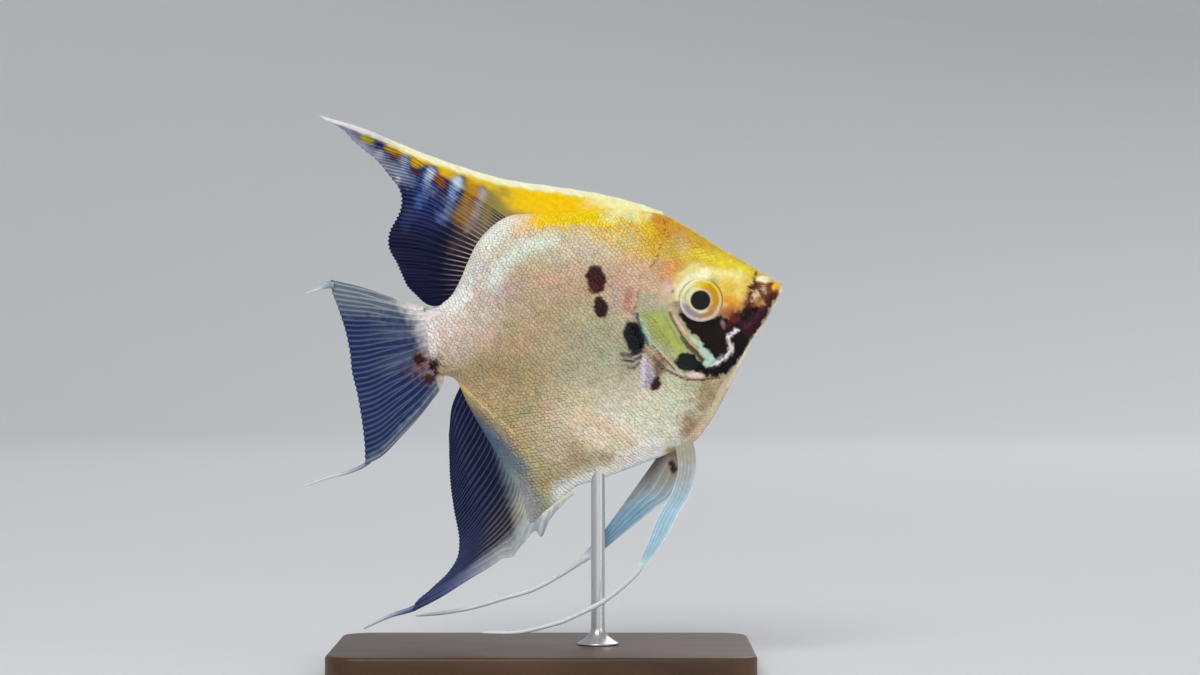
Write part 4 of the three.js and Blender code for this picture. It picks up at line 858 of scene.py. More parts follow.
def scale_form():
    """One scale as shares of its length, width and lift: a closed lens with a rim of nine, a ring
    within it on top, and a middle above and below. Its hind edge, at +0.5, stands free."""
    turn = np.arange(SCALE_RIM) * TURN / SCALE_RIM
    run, side = np.cos(turn), np.sin(turn)
    rim = np.stack([run * 0.5, side * 0.5, (run + 1) / 2], -1)
    ring = np.stack([run * 0.36, side * 0.36, (0.72 * run + 1) / 2 + 0.22], -1)
    ends = [[0.05, 0, 0.8], [0, 0, 0.2]]
    k = np.arange(SCALE_RIM)
    n, top = (k + 1) % SCALE_RIM, 2 * SCALE_RIM
    faces = np.vstack([
        np.stack([SCALE_RIM + k, SCALE_RIM + n, 0 * k + top], -1),
        np.stack([k, n, SCALE_RIM + n], -1), np.stack([k, SCALE_RIM + n, SCALE_RIM + k], -1),
        np.stack([n, k, 0 * k + top + 1], -1)])
    return np.vstack([rim, ring, ends]), faces


def surface(x, z, side):
    """The skin's point over a point of the side view and its outward normal, which has the flank's
    slopes, taken over a fifth of a millimetre, as its lean."""
    e = 0.1
    slope_x = (half_thickness(x + e, z) - half_thickness(x - e, z)) / (2 * e)
    slope_z = (half_thickness(x, z + e) - half_thickness(x, z - e)) / (2 * e)
    normal = np.stack([-slope_x, side * np.ones_like(x), -slope_z], -1)
    return (np.stack([x, side * flank(x, z), z], -1),
            normal / np.linalg.norm(normal, axis=-1, keepdims=True))


def lie_of(x, z):
    """Direction in which a scale's free edge points: straight back, turned along the back's slope
    above and with the sheath's rays below."""
    back = smoothstep(8, 24, z) * (0.12 + 0.5 * smoothstep(45, 60, x) - 0.75 * smoothstep(24, 8, x))
    sheath = smoothstep(4, -6, x - 25 - 0.35 * (z + 25)) * smoothstep(-8, -22, z)
    throat = smoothstep(-12, -26, z) * smoothstep(36, 60, x)
    return math.pi - back + 0.7 * sheath - 0.35 * throat


def spread_scales(x, z, side, length, width, lift, seed):
    """Points of scales over the flank: each one's form is turned to its lie in the side view, put on
    the skin point by point and raised along the skin's normal."""
    form, faces = scale_form()
    draw = np.random.default_rng(seed)
    lie = lie_of(x, z) + draw.normal(0, 0.05, x.shape)
    size = draw.uniform(0.92, 1.1, x.shape)
    along_it = form[:, 0] * (length * size)[:, None]
    across = form[:, 1] * (width * size)[:, None]
    c, s = np.cos(lie)[:, None], np.sin(lie)[:, None]
    px, pz = x[:, None] + along_it * c - across * s, z[:, None] + along_it * s + across * c
    over = form[:, 2] * (lift * draw.uniform(0.7, 1.15, x.shape))[:, None] - 0.02
    base, normal = surface(px.ravel(), pz.ravel(), side)
    if side > 0:
        faces = faces[:, ::-1]
    bodies = np.arange(len(x))[:, None, None] * len(form)
    return base + normal * over.reshape(-1, 1), (faces[None] + bodies).reshape(-1, 3), px, pz


def flank_roots(pitch, row, seed):
    """Roots of scales on a lattice whose odd rows are shifted by half a pitch, jittered, and kept
    where the outline is farther than the margin and the place is scaly."""
    draw = np.random.default_rng(seed)
    x, z = np.meshgrid(np.arange(-1, 76, pitch), np.arange(-42, 26, row))
    x = x + (np.arange(len(x))[:, None] % 2) * pitch / 2
    x = (x + draw.uniform(-0.17, 0.17, x.shape) * pitch).ravel()
    z = (z + draw.uniform(-0.17, 0.17, z.shape) * row).ravel()
    field = OUTLINE - (OUTLINE[:, :1] < 0) * [[4, 0]]  # scales run on over the tail fin's root
    keep = (depth_inside(field, x, z) > FLANK_MARGIN) & (x > TAIL_ROOT_X) & is_scaly(x, z)
    return x[keep], z[keep]


def rim_scales(side, seed):
    """Points of the rows of scales round the skin's rim, where it turns over: row by row at a given
    distance over the skin from its edge, each form bent round the rim, point by point."""
    form, faces = scale_form()
    draw = np.random.default_rng(seed)
    loop = np.vstack([OUTLINE, OUTLINE[:1]])
    run = lengths(loop)
    starts, depths = [], []
    for n, depth in enumerate(RIM_ROWS):
        places = np.arange(0, run[-1], RIM_STEP) + (n % 2) * RIM_STEP / 2
        starts.append(places + draw.uniform(-0.1, 0.1, places.shape) * RIM_STEP)
        depths.append(depth + draw.uniform(-0.06, 0.06, places.shape))
    start, depth = np.concatenate(starts), np.concatenate(depths)
    x, z = np.interp(start, run, loop[:, 0]), np.interp(start, run, loop[:, 1])
    keep = rim_is_scaly(x, z)
    start, depth = start[keep], depth[keep]
    x, z = x[keep], z[keep]
    # tailwards along the outline: anticlockwise over the back, clockwise under the belly
    back = np.where(z > -3, 1, -1)[:, None]
    size = draw.uniform(0.9, 1.1, start.shape)[:, None]
    spot = start[:, None] + back * form[:, 0] * RIM_LENGTH * size
    deep = np.maximum(0.02, depth[:, None] + form[:, 1] * RIM_WIDTH * size * -back)
    px = np.interp(spot, run, loop[:, 0], period=run[-1])
    pz = np.interp(spot, run, loop[:, 1], period=run[-1])
    angle = about_hub(px, pz)[1]
    share = share_from_edge(angle, deep)
    s, a = share.ravel(), angle.ravel()
    base = on_skin(s, a, side)
    # the normal is square to small steps outward and round the rim
    outward_step = on_skin(np.minimum(s + 0.004, 0.9995), a, side) - on_skin(s - 0.004, a, side)
    round_step = on_skin(s, a + 0.01, side) - on_skin(s, a - 0.01, side)
    normal = np.cross(round_step, outward_step) * side
    normal /= np.linalg.norm(normal, axis=1, keepdims=True)
    over = form[:, 2] * RIM_LIFT - 0.02
    points = base + normal * np.tile(over, len(start))[:, None]
    bodies = np.arange(len(start))[:, None, None] * len(form)
    faces = faces[:, ::-1] if side > 0 else faces
    return points, (faces[None] + bodies).reshape(-1, 3), base[:, 0], base[:, 2], share, angle


def is_scaly(x, z):
    """Whether scales grow at a place: over the trunk, nape and gill cover, but not on the front of
    the head or round the eye."""
    bare = depth_inside(BARE_HEAD, x, z) > 0
    return ~bare & (np.hypot(x - EYE[0], z - EYE[1]) > EYE_BARE)


def painted_root_shade(x, z):
    """How much painted shade darkens a scale's root, where it tucks under the scale before, against its
    free edge: most on the upper flank, where the shaded roots make a net."""
    rows = blot(x, z, (28.7, 8.1), (11, 5.5), -8, 0.8)
    arc = blot(x, z, (13.2, 17.1), (6, 11), -35, 0.8)
    nape = blot(x, z, (43.8, 15.5), (9, 5), -20, 0.8)
    return (0.16 + 0.3 * rows + 0.28 * arc + 0.3 * nape) * from_bare(x, z)


def from_bare(x, z):
    """0 at the front of the head, where no scales grow, to 1 five millimetres behind it."""
    return smoothstep(0, 5, -depth_inside(BARE_HEAD, x, z))


def is_small_scaled(x, z):
    """Whether the scales of a place are small: on the head."""
    return depth_inside(HEAD_SIDE, x, z) > 0


def rim_is_scaly(x, z):
    """Whether scales grow on the rim at a place of the outline: not ahead of the nape or throat, nor
    at the roots of the tail fin."""
    return (x > TAIL_ROOT_X + 0.3) & ~((x > 58) & (z > -24)) & ~(depth_inside(BARE_HEAD, x, z) > 0)


# ------------------------------------------------------------------ colours of the fins

# Each fin's colours, and how solid it is, by place, by u across the rays and v along them, and by
# the ray's height there.


def rays_tint(membrane, ray, high, share):
    """The membrane's colour, and the ray's where its ridge is high."""
    return mix(membrane, ray, share * smoothstep(0.25, 0.9, high))


def uneven(tint, depth, fine):
    """The tint made lighter and darker by a depth times a noise."""
    return np.clip(tint * (1 + depth * fine)[:, None], 0, 1)


def plain(colour, x):
    """One colour for every point."""
    return np.broadcast_to(tone(colour), (len(x), 3))


def dorsal_tint(x, z, u, v, high, spines=False):
    """Both parts of the dorsal fin alike: navy with paler rays, lilac at the sail's root, gold over
    the spines, bars and patches in a row under the margin, and a cream margin."""
    fine, wander = noise(x, z, 1.0, 42, 2), noise(x, z, 4, 31)
    edge = distance_to(spline(MARGIN_LINE, steps=3), x, z)
    run = level(x, z)
    low = smoothstep(34, 21, z + 0.4 * x)
    blue = mix(plain("0a1036", x), tone("070a30"), low)
    tint = rays_tint(blue, mix(plain("364078", x), tone("161a44"), low), high, 0.8)
    if spines:
        tint = mix(tint, tone("c4ad80"), 0.8 * smoothstep(0.6, 0.1, v + 0.15 * fine))
    else:
        root = smoothstep(0.46, 0.04, v + 0.06 * fine) * smoothstep(6, 19, z)
        tint = mix(tint, rays_tint(plain("1c161e", x), tone("b8a4a8"), high, 0.85), root)
        tint = mix(tint, tone("2c4292"), 0.4 * bump(v - 0.66, 0.22) * (1 - low))
    px, pz = wander_off(x, z, 0.3)
    under = lay_on(tint, DORSAL_MARKS, px, pz)
    between = (0.55 + 0.25 * v) * smoothstep(0.75, 0.15, high) * (not spines)
    shoulder = blot(px, pz, (14.2, 23.7), (3.4, 7), 48, 0.8, 0.6)
    under = mix(under, tone("a69470"), 0.45 * shoulder * (not spines))
    under = mix(under, under * 0.25, between * (1 - 0.6 * shoulder) * smoothstep(-9, -3, x))
    tint = gold_of_back(under, x, z, distance_to(BACK, x, z))
    gold = smoothstep(13.5, 18, run + 1.2 * fine) * smoothstep(45, 30, run)
    tint = mix(tint, tone("ffce04"), 0.92 * gold * smoothstep(8.0, 5.6, edge + fine))
    olive = smoothstep(9, 12, run + fine) * smoothstep(25, 20, run) * smoothstep(5.5, 7.5, edge)
    tint = mix(tint, tone("8e8448"), 0.7 * olive * spines)
    under_edge = smoothstep(3.4, 2.2, edge + 0.5 * fine) * bump(run - 11.5, 4.5)
    tint = mix(tint, tone("f0cc2c"), 0.85 * under_edge)
    lemon = smoothstep(2.1, 1.4, edge + 0.3 * fine) * smoothstep(-12, -4, run)
    tint = mix(tint, tone("f8e24c"), 0.8 * lemon)
    pale = smoothstep(1.6, 1.0, edge + 0.3 * fine) * smoothstep(-16, -8, run)
    tint = mix(tint, tone("fffbd4"), 0.97 * pale)
    grey = smoothstep(1.3, 0.7, edge + 0.2 * fine) * smoothstep(-6, -14, run)
    tint = mix(tint, tone("ece8ea"), 0.95 * grey)
    cream = smoothstep(30, 38, run) * smoothstep(0.1, 0.5, v + 0.2 * wander)
    return mix(tint, tone("fdf8b8"), 0.85 * cream), 0.94 + 0.06 * high


def dorsal_front_tint(x, z, u, v, high):
    """The dorsal fin's colours over its spines."""
    return dorsal_tint(x, z, u, v, high, spines=True)


def keel_tint(x, z, u, v, high):
    """Navy with lilac-grey rays; the sheath's tone at the root, and a pale, tan-streaked front."""
    fine = noise(x, z, 1.0, 43, 2)
    tint = rays_tint(plain("0e112e", x), tone("40476e"), high, 0.8)
    front = smoothstep(0.45, 0.15, u) * smoothstep(0.7, 0.35, v)
    tint = mix(tint, rays_tint(plain("2c2c3c", x), tone("8a8078"), high, 0.8), 0.8 * front)
    reach = 0.06 + 0.12 * smoothstep(-20, -36, z)
    root = smoothstep(1.6, 0.1, v / reach + 0.3 * fine)
    tone_here = sheath_tone(z)
    tint = mix(tint, mix(tone_here * 0.8, np.minimum(1, tone_here * 1.35), high), root)
    lead = smoothstep(0.13, 0.02, u + 0.02 * fine) * smoothstep(1.0, 0.6, v)
    tint = mix(tint, mix(tone("bcc4c6"), tone("6670a0"), smoothstep(0.3, 0.85, v)), 0.85 * lead)
    tint = mix(tint, tone("545e8c"), 0.4 * smoothstep(0.3, 0.9, v) * smoothstep(-36, -52, z))
    return uneven(tint, 0.12, fine), 0.94 + 0.06 * high


def anal_spines_tint(x, z, u, v, high):
    """Cream next to the body, then pale grey-blue, the spines paler than what joins them."""
    fine = noise(x, z, 1.0, 46, 2)
    tint = mix(tone("ece2d0"), tone("a8b2ba"), smoothstep(0.55, 0.95, v + 0.6 * u + 0.15 * fine))
    tint = mix(tint, tone("b49c74"), 0.4 * smoothstep(0.1, 0.6, 0.4 * fine + 0.3 - v) * (1 - u))
    tint = mix(tint, tone("74787e"), 0.6 * bump(u - 0.55, 0.12) * smoothstep(0.4, 1, v))
    tint = rays_tint(tint, tone("e8e4d8"), high, 0.4)
    return uneven(tint, 0.1, fine), np.ones_like(x)


def tail_tint(x, z, u, v, high):
    """Slate blue with pale rays, greyish along the upper edge, white speckled at the root."""
    fine = noise(x, z, 1.0, 44, 2)
    tint = rays_tint(plain("1e2850", x), tone("54648e"), high, 0.7)
    top = smoothstep(0.26, 0.05, u + 0.04 * fine)
    low = 0.6 * smoothstep(0.82 + 0.12 * v, 0.94 + 0.05 * v, u + 0.02 * fine)
    tint = mix(tint, rays_tint(plain("68727e", x), tone("a4aeb8"), high, 0.7), np.maximum(top, low))
    streaks = bump(u - 0.3 - 0.03 * fine, 0.06) + bump(u - 0.52 - 0.03 * fine, 0.06)
    tint = mix(tint, tone("7c8896"), 0.4 * streaks * smoothstep(0.9, 0.3, v))
    tint = mix(tint, tone("3a3440"), 0.5 * bump(u - 0.58, 0.1) * smoothstep(0.6, 0.2, v))
    speck = noise(x, z, 0.6, 47, 2)
    upper = smoothstep(0.2, 0, u)
    root = smoothstep(0.38 - 0.14 * u + 0.16 * upper, 0.08 + 0.1 * upper,
                      v + 0.08 * fine + 0.06 * speck)
    white = mix(tone("d8d0ca"), tone("f8f2ee"), smoothstep(-0.4, 0.4, speck))
    tint = mix(tint, mix(white, tone("a88c7c"), 0.4 * smoothstep(0.3, 0.6, u)), 0.95 * root)
    tint = lay_on(tint, TAIL_MARKS, *wander_off(x, z, 0.3))
    return uneven(tint, 0.12, fine), 0.94 + 0.06 * high


def pelvic_tint(x, z, u, v, high):
    """Grey at the root, then sky blue between white streaks along the rays."""
    fine = noise(x, z, 1.0, 45, 2)
    blue = mix(tone("b0b4b0"), tone("a4cadf"), smoothstep(0.2, 0.5, v + 0.05 * fine))
    tint = rays_tint(blue, mix(tone("c4ccc8"), tone("d8eaf4"), smoothstep(0.2, 0.6, v)), high, 0.7)
    tint = mix(tint, tone("b4ac9a"), smoothstep(0.2, 0.05, v + 0.05 * fine))
    edge = np.maximum(smoothstep(0.2, 0.03, u), smoothstep(0.9, 0.99, u))
    tint = mix(tint, tone("e8f4fa"), 0.9 * edge * smoothstep(0.12, 0.4, v))
    tint = mix(tint, tone("f0f5f7"), smoothstep(0.85, 1.0, v))
    return uneven(tint, 0.08, fine), 0.86 + 0.14 * high


def pelvic_left_tint(x, z, u, v, high):
    """The far fin: tan rays at its root, a brown spot on its blade and a greyer inner membrane."""
    tint, clear = pelvic_tint(x, z, u, v, high)
    tint = mix(tint, tone("a09c98"), 0.7 * smoothstep(0.35, 0.9, u) * smoothstep(0.5, 0.25, v))
    tint = mix(tint, tone("ae9070"), 0.7 * smoothstep(0.36, 0.1, v) * smoothstep(0.9, 0.3, u))
    tint = mix(tint, tone("5a94b4"), 0.5 * smoothstep(0.35, 0.6, v) * smoothstep(1.0, 0.8, v))
    inner = smoothstep(0.55, 0.9, u) * smoothstep(0.45, 0.1, v + 0.06 * noise(x, z, 0.8, 68))
    tint = mix(tint, tone("5c5450"), 0.75 * inner)
    outer = smoothstep(0.7, 0.9, u) * smoothstep(0.65, 0.4, v)
    tint = mix(tint, mix(tone("6a6462"), tone("9aa0a2"), smoothstep(0.15, 0.4, v)), 0.9 * outer)
    spot = blot(x, z, (46.6, -34.4), (0.7, 1.7), 14, 0.4, 0.6, 0.7, 33)
    return mix(tint, tone("2c120c"), 0.95 * spot), clear


def pectoral_tint(x, z, u, v, high):
    """A fleshy root painted lilac-white as the sheen of its rays seen edge-on, then a clear membrane
    between pale rays.
    """
    root = smoothstep(0.14, 0.05, v)
    # the root's lilac is painted sheen of the rays seen edge-on
    tint = mix(tone("b8ac9c"), tone("cdbcd2"), root)
    rays = high * smoothstep(1.1, 0.4, v)
    return rays_tint(tint, tone("f0eae4"), high, 0.8), np.maximum(0.03 + 0.14 * rays, root)


def filament_tint(name, share, pale):
    """Pale threads, the anal fin's one lilac-blue at its root, the tail's slate where they begin."""
    if name == "anal_thread":
        return mix(tone("5a6698"), tone("c2c6d0"), smoothstep(0.2, 0.7, share))
    if name.startswith("caudal"):
        return mix(tone("8b94a6"), tone("d4d8de"), smoothstep(0.1, 0.6, share))
    return mix(pale * 0.9, pale, smoothstep(0, 0.5, share))


# ------------------------------------------------------------------ eyes


def eye_mesh(side, rings=40, spokes=96):
    """An eye: a flat lens turned about the side-to-side axis, its height the square root of one less
    a power of the radius, with a faint ridge round the pupil; and each point's radius and
    direction about the pupil."""
    angle = np.arange(spokes) * TURN / spokes
    rise = np.linspace(math.pi / 2, -math.pi / 2, rings)[1:-1]
    radius = np.cos(rise) * EYE_RADIUS
    height = np.sqrt(1 - np.cos(rise) ** 2.8) * EYE_DEPTH * np.sign(rise)
    height = height + 0.06 * bump(radius - PUPIL_RADIUS - 0.35, 0.3) * (rise > 0)
    centre = float(half_thickness(np.array(EYE[0]), np.array(EYE[1]))) - EYE_SUNK
    x = EYE[0] + radius[:, None] * np.cos(angle)
    z = EYE[1] + radius[:, None] * np.sin(angle)
    y = np.broadcast_to(side * (centre + height[:, None]), x.shape)
    ends = [[EYE[0], side * (centre + depth), EYE[1]] for depth in (EYE_DEPTH, -EYE_DEPTH)]
    turn = np.concatenate([np.tile(angle, len(radius)), [0, 0]])
    flat = np.concatenate([np.repeat(radius, spokes), [0, EYE_RADIUS]])
    return *capped(np.stack([x, y, z], -1), ends), flat, turn


PAINTED_GLINT_AT = 4.96  # direction of the painted glint, a pale arc under the pupil, in radians


def eye_tint(radius, turn):
    """Colours by distance from the pupil's middle and by direction: black pupil, pale ring, iris gold
    above and ahead and silver-pink below and behind, and a cream rim that ends in a dark line."""
    x, z = radius * np.cos(turn), radius * np.sin(turn)
    fine = noise(x, z, 0.45, 51, 2)
    radius = radius + 0.07 * noise(x, z, 0.9, 53)
    ahead, up = np.cos(turn + PITCH), np.sin(turn + PITCH)
    threads = 0.4 * np.sin(turn * 60 + 5 * noise(x, z, 1.2, 52)) + 0.9 * fine
    low = mix(tone("a39599"), tone("ba9050"), smoothstep(-0.6, 0.4, ahead))
    gold = mix(tone("dcc41c"), tone("cc920a"), smoothstep(-0.1, 0.8, ahead + 0.3 * fine))
    iris = mix(low, gold, smoothstep(-0.25, 0.6, 0.8 * up + 0.5 * ahead + 0.15 * fine))
    behind = smoothstep(0.2, 0.75, -ahead) * smoothstep(-0.5, 0.1, up)
    iris = mix(iris, tone("f0e9bc"), 0.85 * behind)
    iris = iris * (1 + 0.13 * threads)[:, None]
    tint = mix(tone("0a0708"), mix(tone("f1e4b4"), tone("dfb48a"), smoothstep(-0.3, 0.8, ahead)),
               smoothstep(PUPIL_RADIUS - 0.07, PUPIL_RADIUS + 0.07, radius))
    tint = mix(tint, iris, smoothstep(2.5, 2.75, radius + 0.08 * fine))
    # painted glint: a pale arc on the ring under the pupil
    painted_glint = bump(radius - 2.5, 0.22) * smoothstep(0.6, 0.2, np.abs(turn + PITCH - PAINTED_GLINT_AT))
    tint = mix(tint, tone("fff8dc"), painted_glint)
    line = bump(radius - 3.25, 0.16) * smoothstep(0.3, 0.7, -ahead) * smoothstep(-0.2, 0.2, up)
    tint = mix(tint, tone("8d8a52"), 0.7 * line)
    rim = mix(mix(tone("fff0ee"), tone("f2ccb0"), smoothstep(-0.4, 0.8, ahead)),
              mix(tone("fdf6cc"), tone("ecd03c"), smoothstep(-0.5, 0.7, ahead)),
              smoothstep(-0.3, 0.4, up))
    wide = smoothstep(3.8, 4.0, radius + 0.06 * fine)
    above = smoothstep(3.85, 4.25, radius + 0.1 * fine)
    tint = mix(tint, rim, mix(wide, above, smoothstep(0, 0.5, up)))
    dark = bump(radius - 4.72, 0.14) * smoothstep(0.45, 0.9, ahead + 0.25 * up)
    tint = mix(tint, tone("5c4410"), 0.85 * dark)
    return np.clip(tint, 0, 1)


# ------------------------------------------------------------------ stand and stage

BASE = (90, 60, 5)
BASE_CORNER, BASE_BEVEL = 7, 0.8
ROD_UNDER = (31, 0, -30)  # where the rod meets the belly, in the fish's frame
ROD_FOOT = 4.5
LIGHT_AIM = (0.012, 0, 0.07)
CAMERA_AIM, CAMERA_DISTANCE = (0.01226, 0, 0.07103), 0.7167


def base_mesh(steps=14):
    """The base as rings of a round-cornered oblong carried up a rounded profile, in metres."""
    half_x, half_y = BASE[0] / 2 - BASE_CORNER, BASE[1] / 2 - BASE_CORNER
    arc = np.linspace(0, math.pi / 2, 7)
    low = [(BASE_BEVEL * (1 - math.sin(a)), BASE_BEVEL * (1 - math.cos(a))) for a in arc]
    profile = low + [(inset, BASE[2] - height) for inset, height in reversed(low)]
    quarter = np.linspace(0, math.pi / 2, steps)
    turn = np.concatenate([quarter + k * math.pi / 2 for k in range(4)])
    cos, sin = np.cos(turn), np.sin(turn)
    sx = np.repeat([1, -1, -1, 1], steps) * half_x
    sy = np.repeat([1, 1, -1, -1], steps) * half_y
    rings = [np.stack([sx + (BASE_CORNER - inset) * cos, sy + (BASE_CORNER - inset) * sin,
                       np.full(len(turn), height)], -1) for inset, height in profile]
    points, faces = capped(np.array(rings), [[0, 0, 0], [0, 0, BASE[2]]])
    return points * MM, faces


def rod_mesh(rod_radius, sides=48):
    """The rod turned on its axis: a low flared foot, then a straight shaft up to the belly, in
    metres."""
    x, _, top = to_world([ROD_UNDER])[0] / MM
    radius, low = rod_radius / MM, BASE[2] + 0.02
    flare = np.linspace(0, 1, 9)
    heights = np.concatenate([[low, low + 0.15, low + 0.4], low + 0.5 + flare * 3.2,
                              [top - 1.0, top]])
    radii = np.concatenate([[ROD_FOOT - 0.12, ROD_FOOT, ROD_FOOT],
                            radius + (ROD_FOOT - 0.25 - radius) * (1 - flare) ** 2.2,
                            [radius, radius]])
    points, faces = capped(turned(radii, heights, sides, x), [[x, 0, low], [x, 0, top]])
    return points * MM, faces


def add_bowl(colour, sides=96, sunk=0.0002):
    """The floor and backdrop: a wide disc that curves up into a wall, one profile turned about the
    upright axis. Not part of the object."""
    t = np.linspace(0, math.pi / 2, 24)
    radii = np.concatenate([[0.02, 0.6, 1.2, 1.7], 1.7 + 0.9 * np.sin(t), [2.6, 2.6]])
    heights = np.concatenate([[0, 0, 0, 0], 0.9 * (1 - np.cos(t)), [2.0, 3.4]])
    points = turned(radii, heights - sunk, sides).reshape(-1, 3)
    k = np.arange(sides)
    fan = np.stack([0 * k + len(points), k, (k + 1) % sides], -1)
    quads = grid_faces(len(radii), sides, closed=True, flip=True)
    mesh = bpy.data.meshes.new("backdrop")
    mesh.from_pydata([*points.tolist(), (0, 0, -sunk)], [], quads.tolist() + fan.tolist())
    mesh.polygons.foreach_set("use_smooth", np.ones(len(mesh.polygons), bool))
    mesh.materials.append(new_material("Matt paper", Roughness=0.9, Base_Color=(*colour, 1))[0])
    bowl = bpy.data.objects.new("backdrop", mesh)
    bpy.context.collection.objects.link(bowl)


def add_light(name, place, size, power):
    """A large soft light that the camera doesn't see, turned to face the fish."""
    lamp = bpy.data.lights.new(name, "AREA")
    lamp.shape, lamp.size, lamp.energy = "DISK", size, power
    light = bpy.data.objects.new(name, lamp)
    light.location = place
    light.rotation_euler = (Vector(LIGHT_AIM) - Vector(place)).to_track_quat("-Z", "Y").to_euler()
    light.visible_camera = False
    bpy.context.collection.objects.link(light)


# ------------------------------------------------------------------ fins


def at(*rows):
    """Points of the fish's frame from rows of x and z, or of x, z and y."""
    return np.array([(row[0], row[2] if len(row) > 2 else 0, row[1]) for row in rows], float)


def through(*rows):
    """A smooth curve through rows of x and z, or of x, z and y."""
    return spline(at(*rows))


def stretched(root, tips, lead, last, root_power=1.0, tip_power=1.0, sway=None, front=None):
    """The middle surface of a fin between its root, free tips, leading ray and last ray: straight
    lines from root to tips, moved by what the lead and the last ray depart from theirs, in shares
    1 - u and u, and swayed sideways. A front, if given, moves the foremost rays alone, from the
    lead's line towards its own."""
    def place(u, v):
        def straight(share):
            return mix(along(root, share ** root_power), along(tips, share ** tip_power), v)
        point = straight(u)
        point = point + (along(lead, v) - straight(u * 0)) * (1 - u)[..., None]
        point = point + (along(last, v) - straight(u * 0 + 1)) * u[..., None]
        if front is not None:
            point = point + (along(front, v) - along(lead, v)) * smoothstep(0.13, 0, u)[..., None]
        if sway:
            point[..., 1] += sway(u, v)
        return point
    return place


def ray_height(u, v, rays, fork):
    """Height of the fin rays as a share: a rounded ridge on each ray, which forks into two between a
    third and three quarters of the way out."""
    phase = u * (rays - 1)
    off = phase - np.rint(phase)
    part = fork * smoothstep(0.3, 0.8, v)
    wide = mix(0.17, 0.12, smoothstep(0.3, 0.8, v) * (fork > 0))
    left, right = bump(off - part, wide), bump(off + part, wide)
    return np.maximum(left, right)


def fin_sheet(place, rays, rows, per_ray, fork=0.25, notch=0.0, membrane=RAY_MEMBRANE,
              ridge=RAY_HEIGHT, low=1.0, ripple=0.0):
    """Points of a fin as a closed plate on a grid of u across the rays and v along them: the middle
    surface, moved out on both faces by the membrane's and the rays' height, tapered to the tips, with
    the membrane cut back between the tips by a notch; low is a share of the rays' height."""
    columns = (rays - 1) * per_ray + 1
    u, v = np.meshgrid(np.linspace(0, 1, columns), np.linspace(0, 1, rows))
    span = np.linalg.norm(place(u[:1], u[:1] * 0 + 1) - place(u[:1], u[:1] * 0), axis=-1)
    hollow = 1 - ray_height(u, v * 0 + 1, rays, fork)
    v = v * (1 - notch * hollow / span * smoothstep(0, 1, v))
    middle = place(u, v)
    middle[..., 1] += ripple * np.sin(u * (rays - 1) * TURN / 2.7 + 3 * v) * v
    normal = np.cross(np.gradient(middle, axis=1), np.gradient(middle, axis=0))
    normal /= np.maximum(1e-9, np.linalg.norm(normal, axis=-1, keepdims=True))
    high = ray_height(u, v, rays, fork)
    half = (membrane + ridge * low * high) * (1 - 0.6 * v ** 1.5)
    points = np.concatenate([middle + normal * half[..., None],
                             middle - normal * half[..., None]]).reshape(-1, 3)
    n = rows * columns
    ring = np.concatenate([np.arange(columns), np.arange(1, rows) * columns + columns - 1,
                           np.arange(n - 2, n - columns - 1, -1),
                           np.arange(rows - 2, 0, -1) * columns])
    after = np.roll(ring, -1)
    wall = np.stack([after, ring, ring + n, after + n], -1)
    faces = outward(points, [grid_faces(rows, columns),
                             grid_faces(rows, columns, first=n, flip=True), wall])
    return points, faces, *(np.tile(part.ravel(), 2) for part in (u, v, high))


def whip(curve, widths, depth, steps=90, sides=14):
    """Points of a filament: an oval carried along a curve, as wide as the widths say at their shares
    of the way, deep at its root and round at its end, closed by a point at either end."""
    t = np.linspace(0, 1, steps)
    centre = along(curve, t)
    ahead = np.gradient(centre, axis=0)
    ahead /= np.linalg.norm(ahead, axis=1, keepdims=True)
    across = np.cross(ahead, (0, 1, 0))
    across /= np.linalg.norm(across, axis=1, keepdims=True)
    out = np.cross(across, ahead)
    turn = np.arange(sides) * TURN / sides
    width = np.interp(t, *np.transpose(widths))
    wide = width[:, None, None] / 2
    deep = np.minimum(width, mix(depth, width, t))[:, None, None] / 2
    close = np.sqrt(1 - smoothstep(0.985, 1, t) ** 2)[:, None, None] + 0.02
    ring = (centre[:, None] + across[:, None] * np.cos(turn)[None, :, None] * wide * close
            + out[:, None] * np.sin(turn)[None, :, None] * deep * close)
    return *capped(ring, [centre[0], centre[-1]]), np.concatenate([np.repeat(t, sides), [0, 1]])


DORSAL_MARGIN = through((54.6, 19.3), *DORSAL_EDGE)
DORSAL_SPINE_ROOT = through((53.6, 17.8), (42, 21), (31, 21.9), (20.9, 23.2))


def spiny_dorsal(u, v):
    """The low front of the dorsal fin: straight spines from the back to the fin's margin, laid back
    more and more."""
    tip = along(DORSAL_MARGIN, mix(0.03, 1, u ** 1.12))
    return mix(along(DORSAL_SPINE_ROOT, u), tip, v)


def beside_last(spines, v, gap):
    """A point of a soft fin's front edge, next to the last spine of its low front part."""
    ends = spines(np.array([1.0, 1.0]), np.array([0.0, 1.0]))
    run = (ends[1] - ends[0]) / np.linalg.norm(ends[1] - ends[0])
    x, _, z = mix(ends[0], ends[1], v) + gap * np.array([-run[2], 0, run[0]])
    return x, z


GAP = 0.02  # between the two parts of the dorsal fin, and of the anal fin

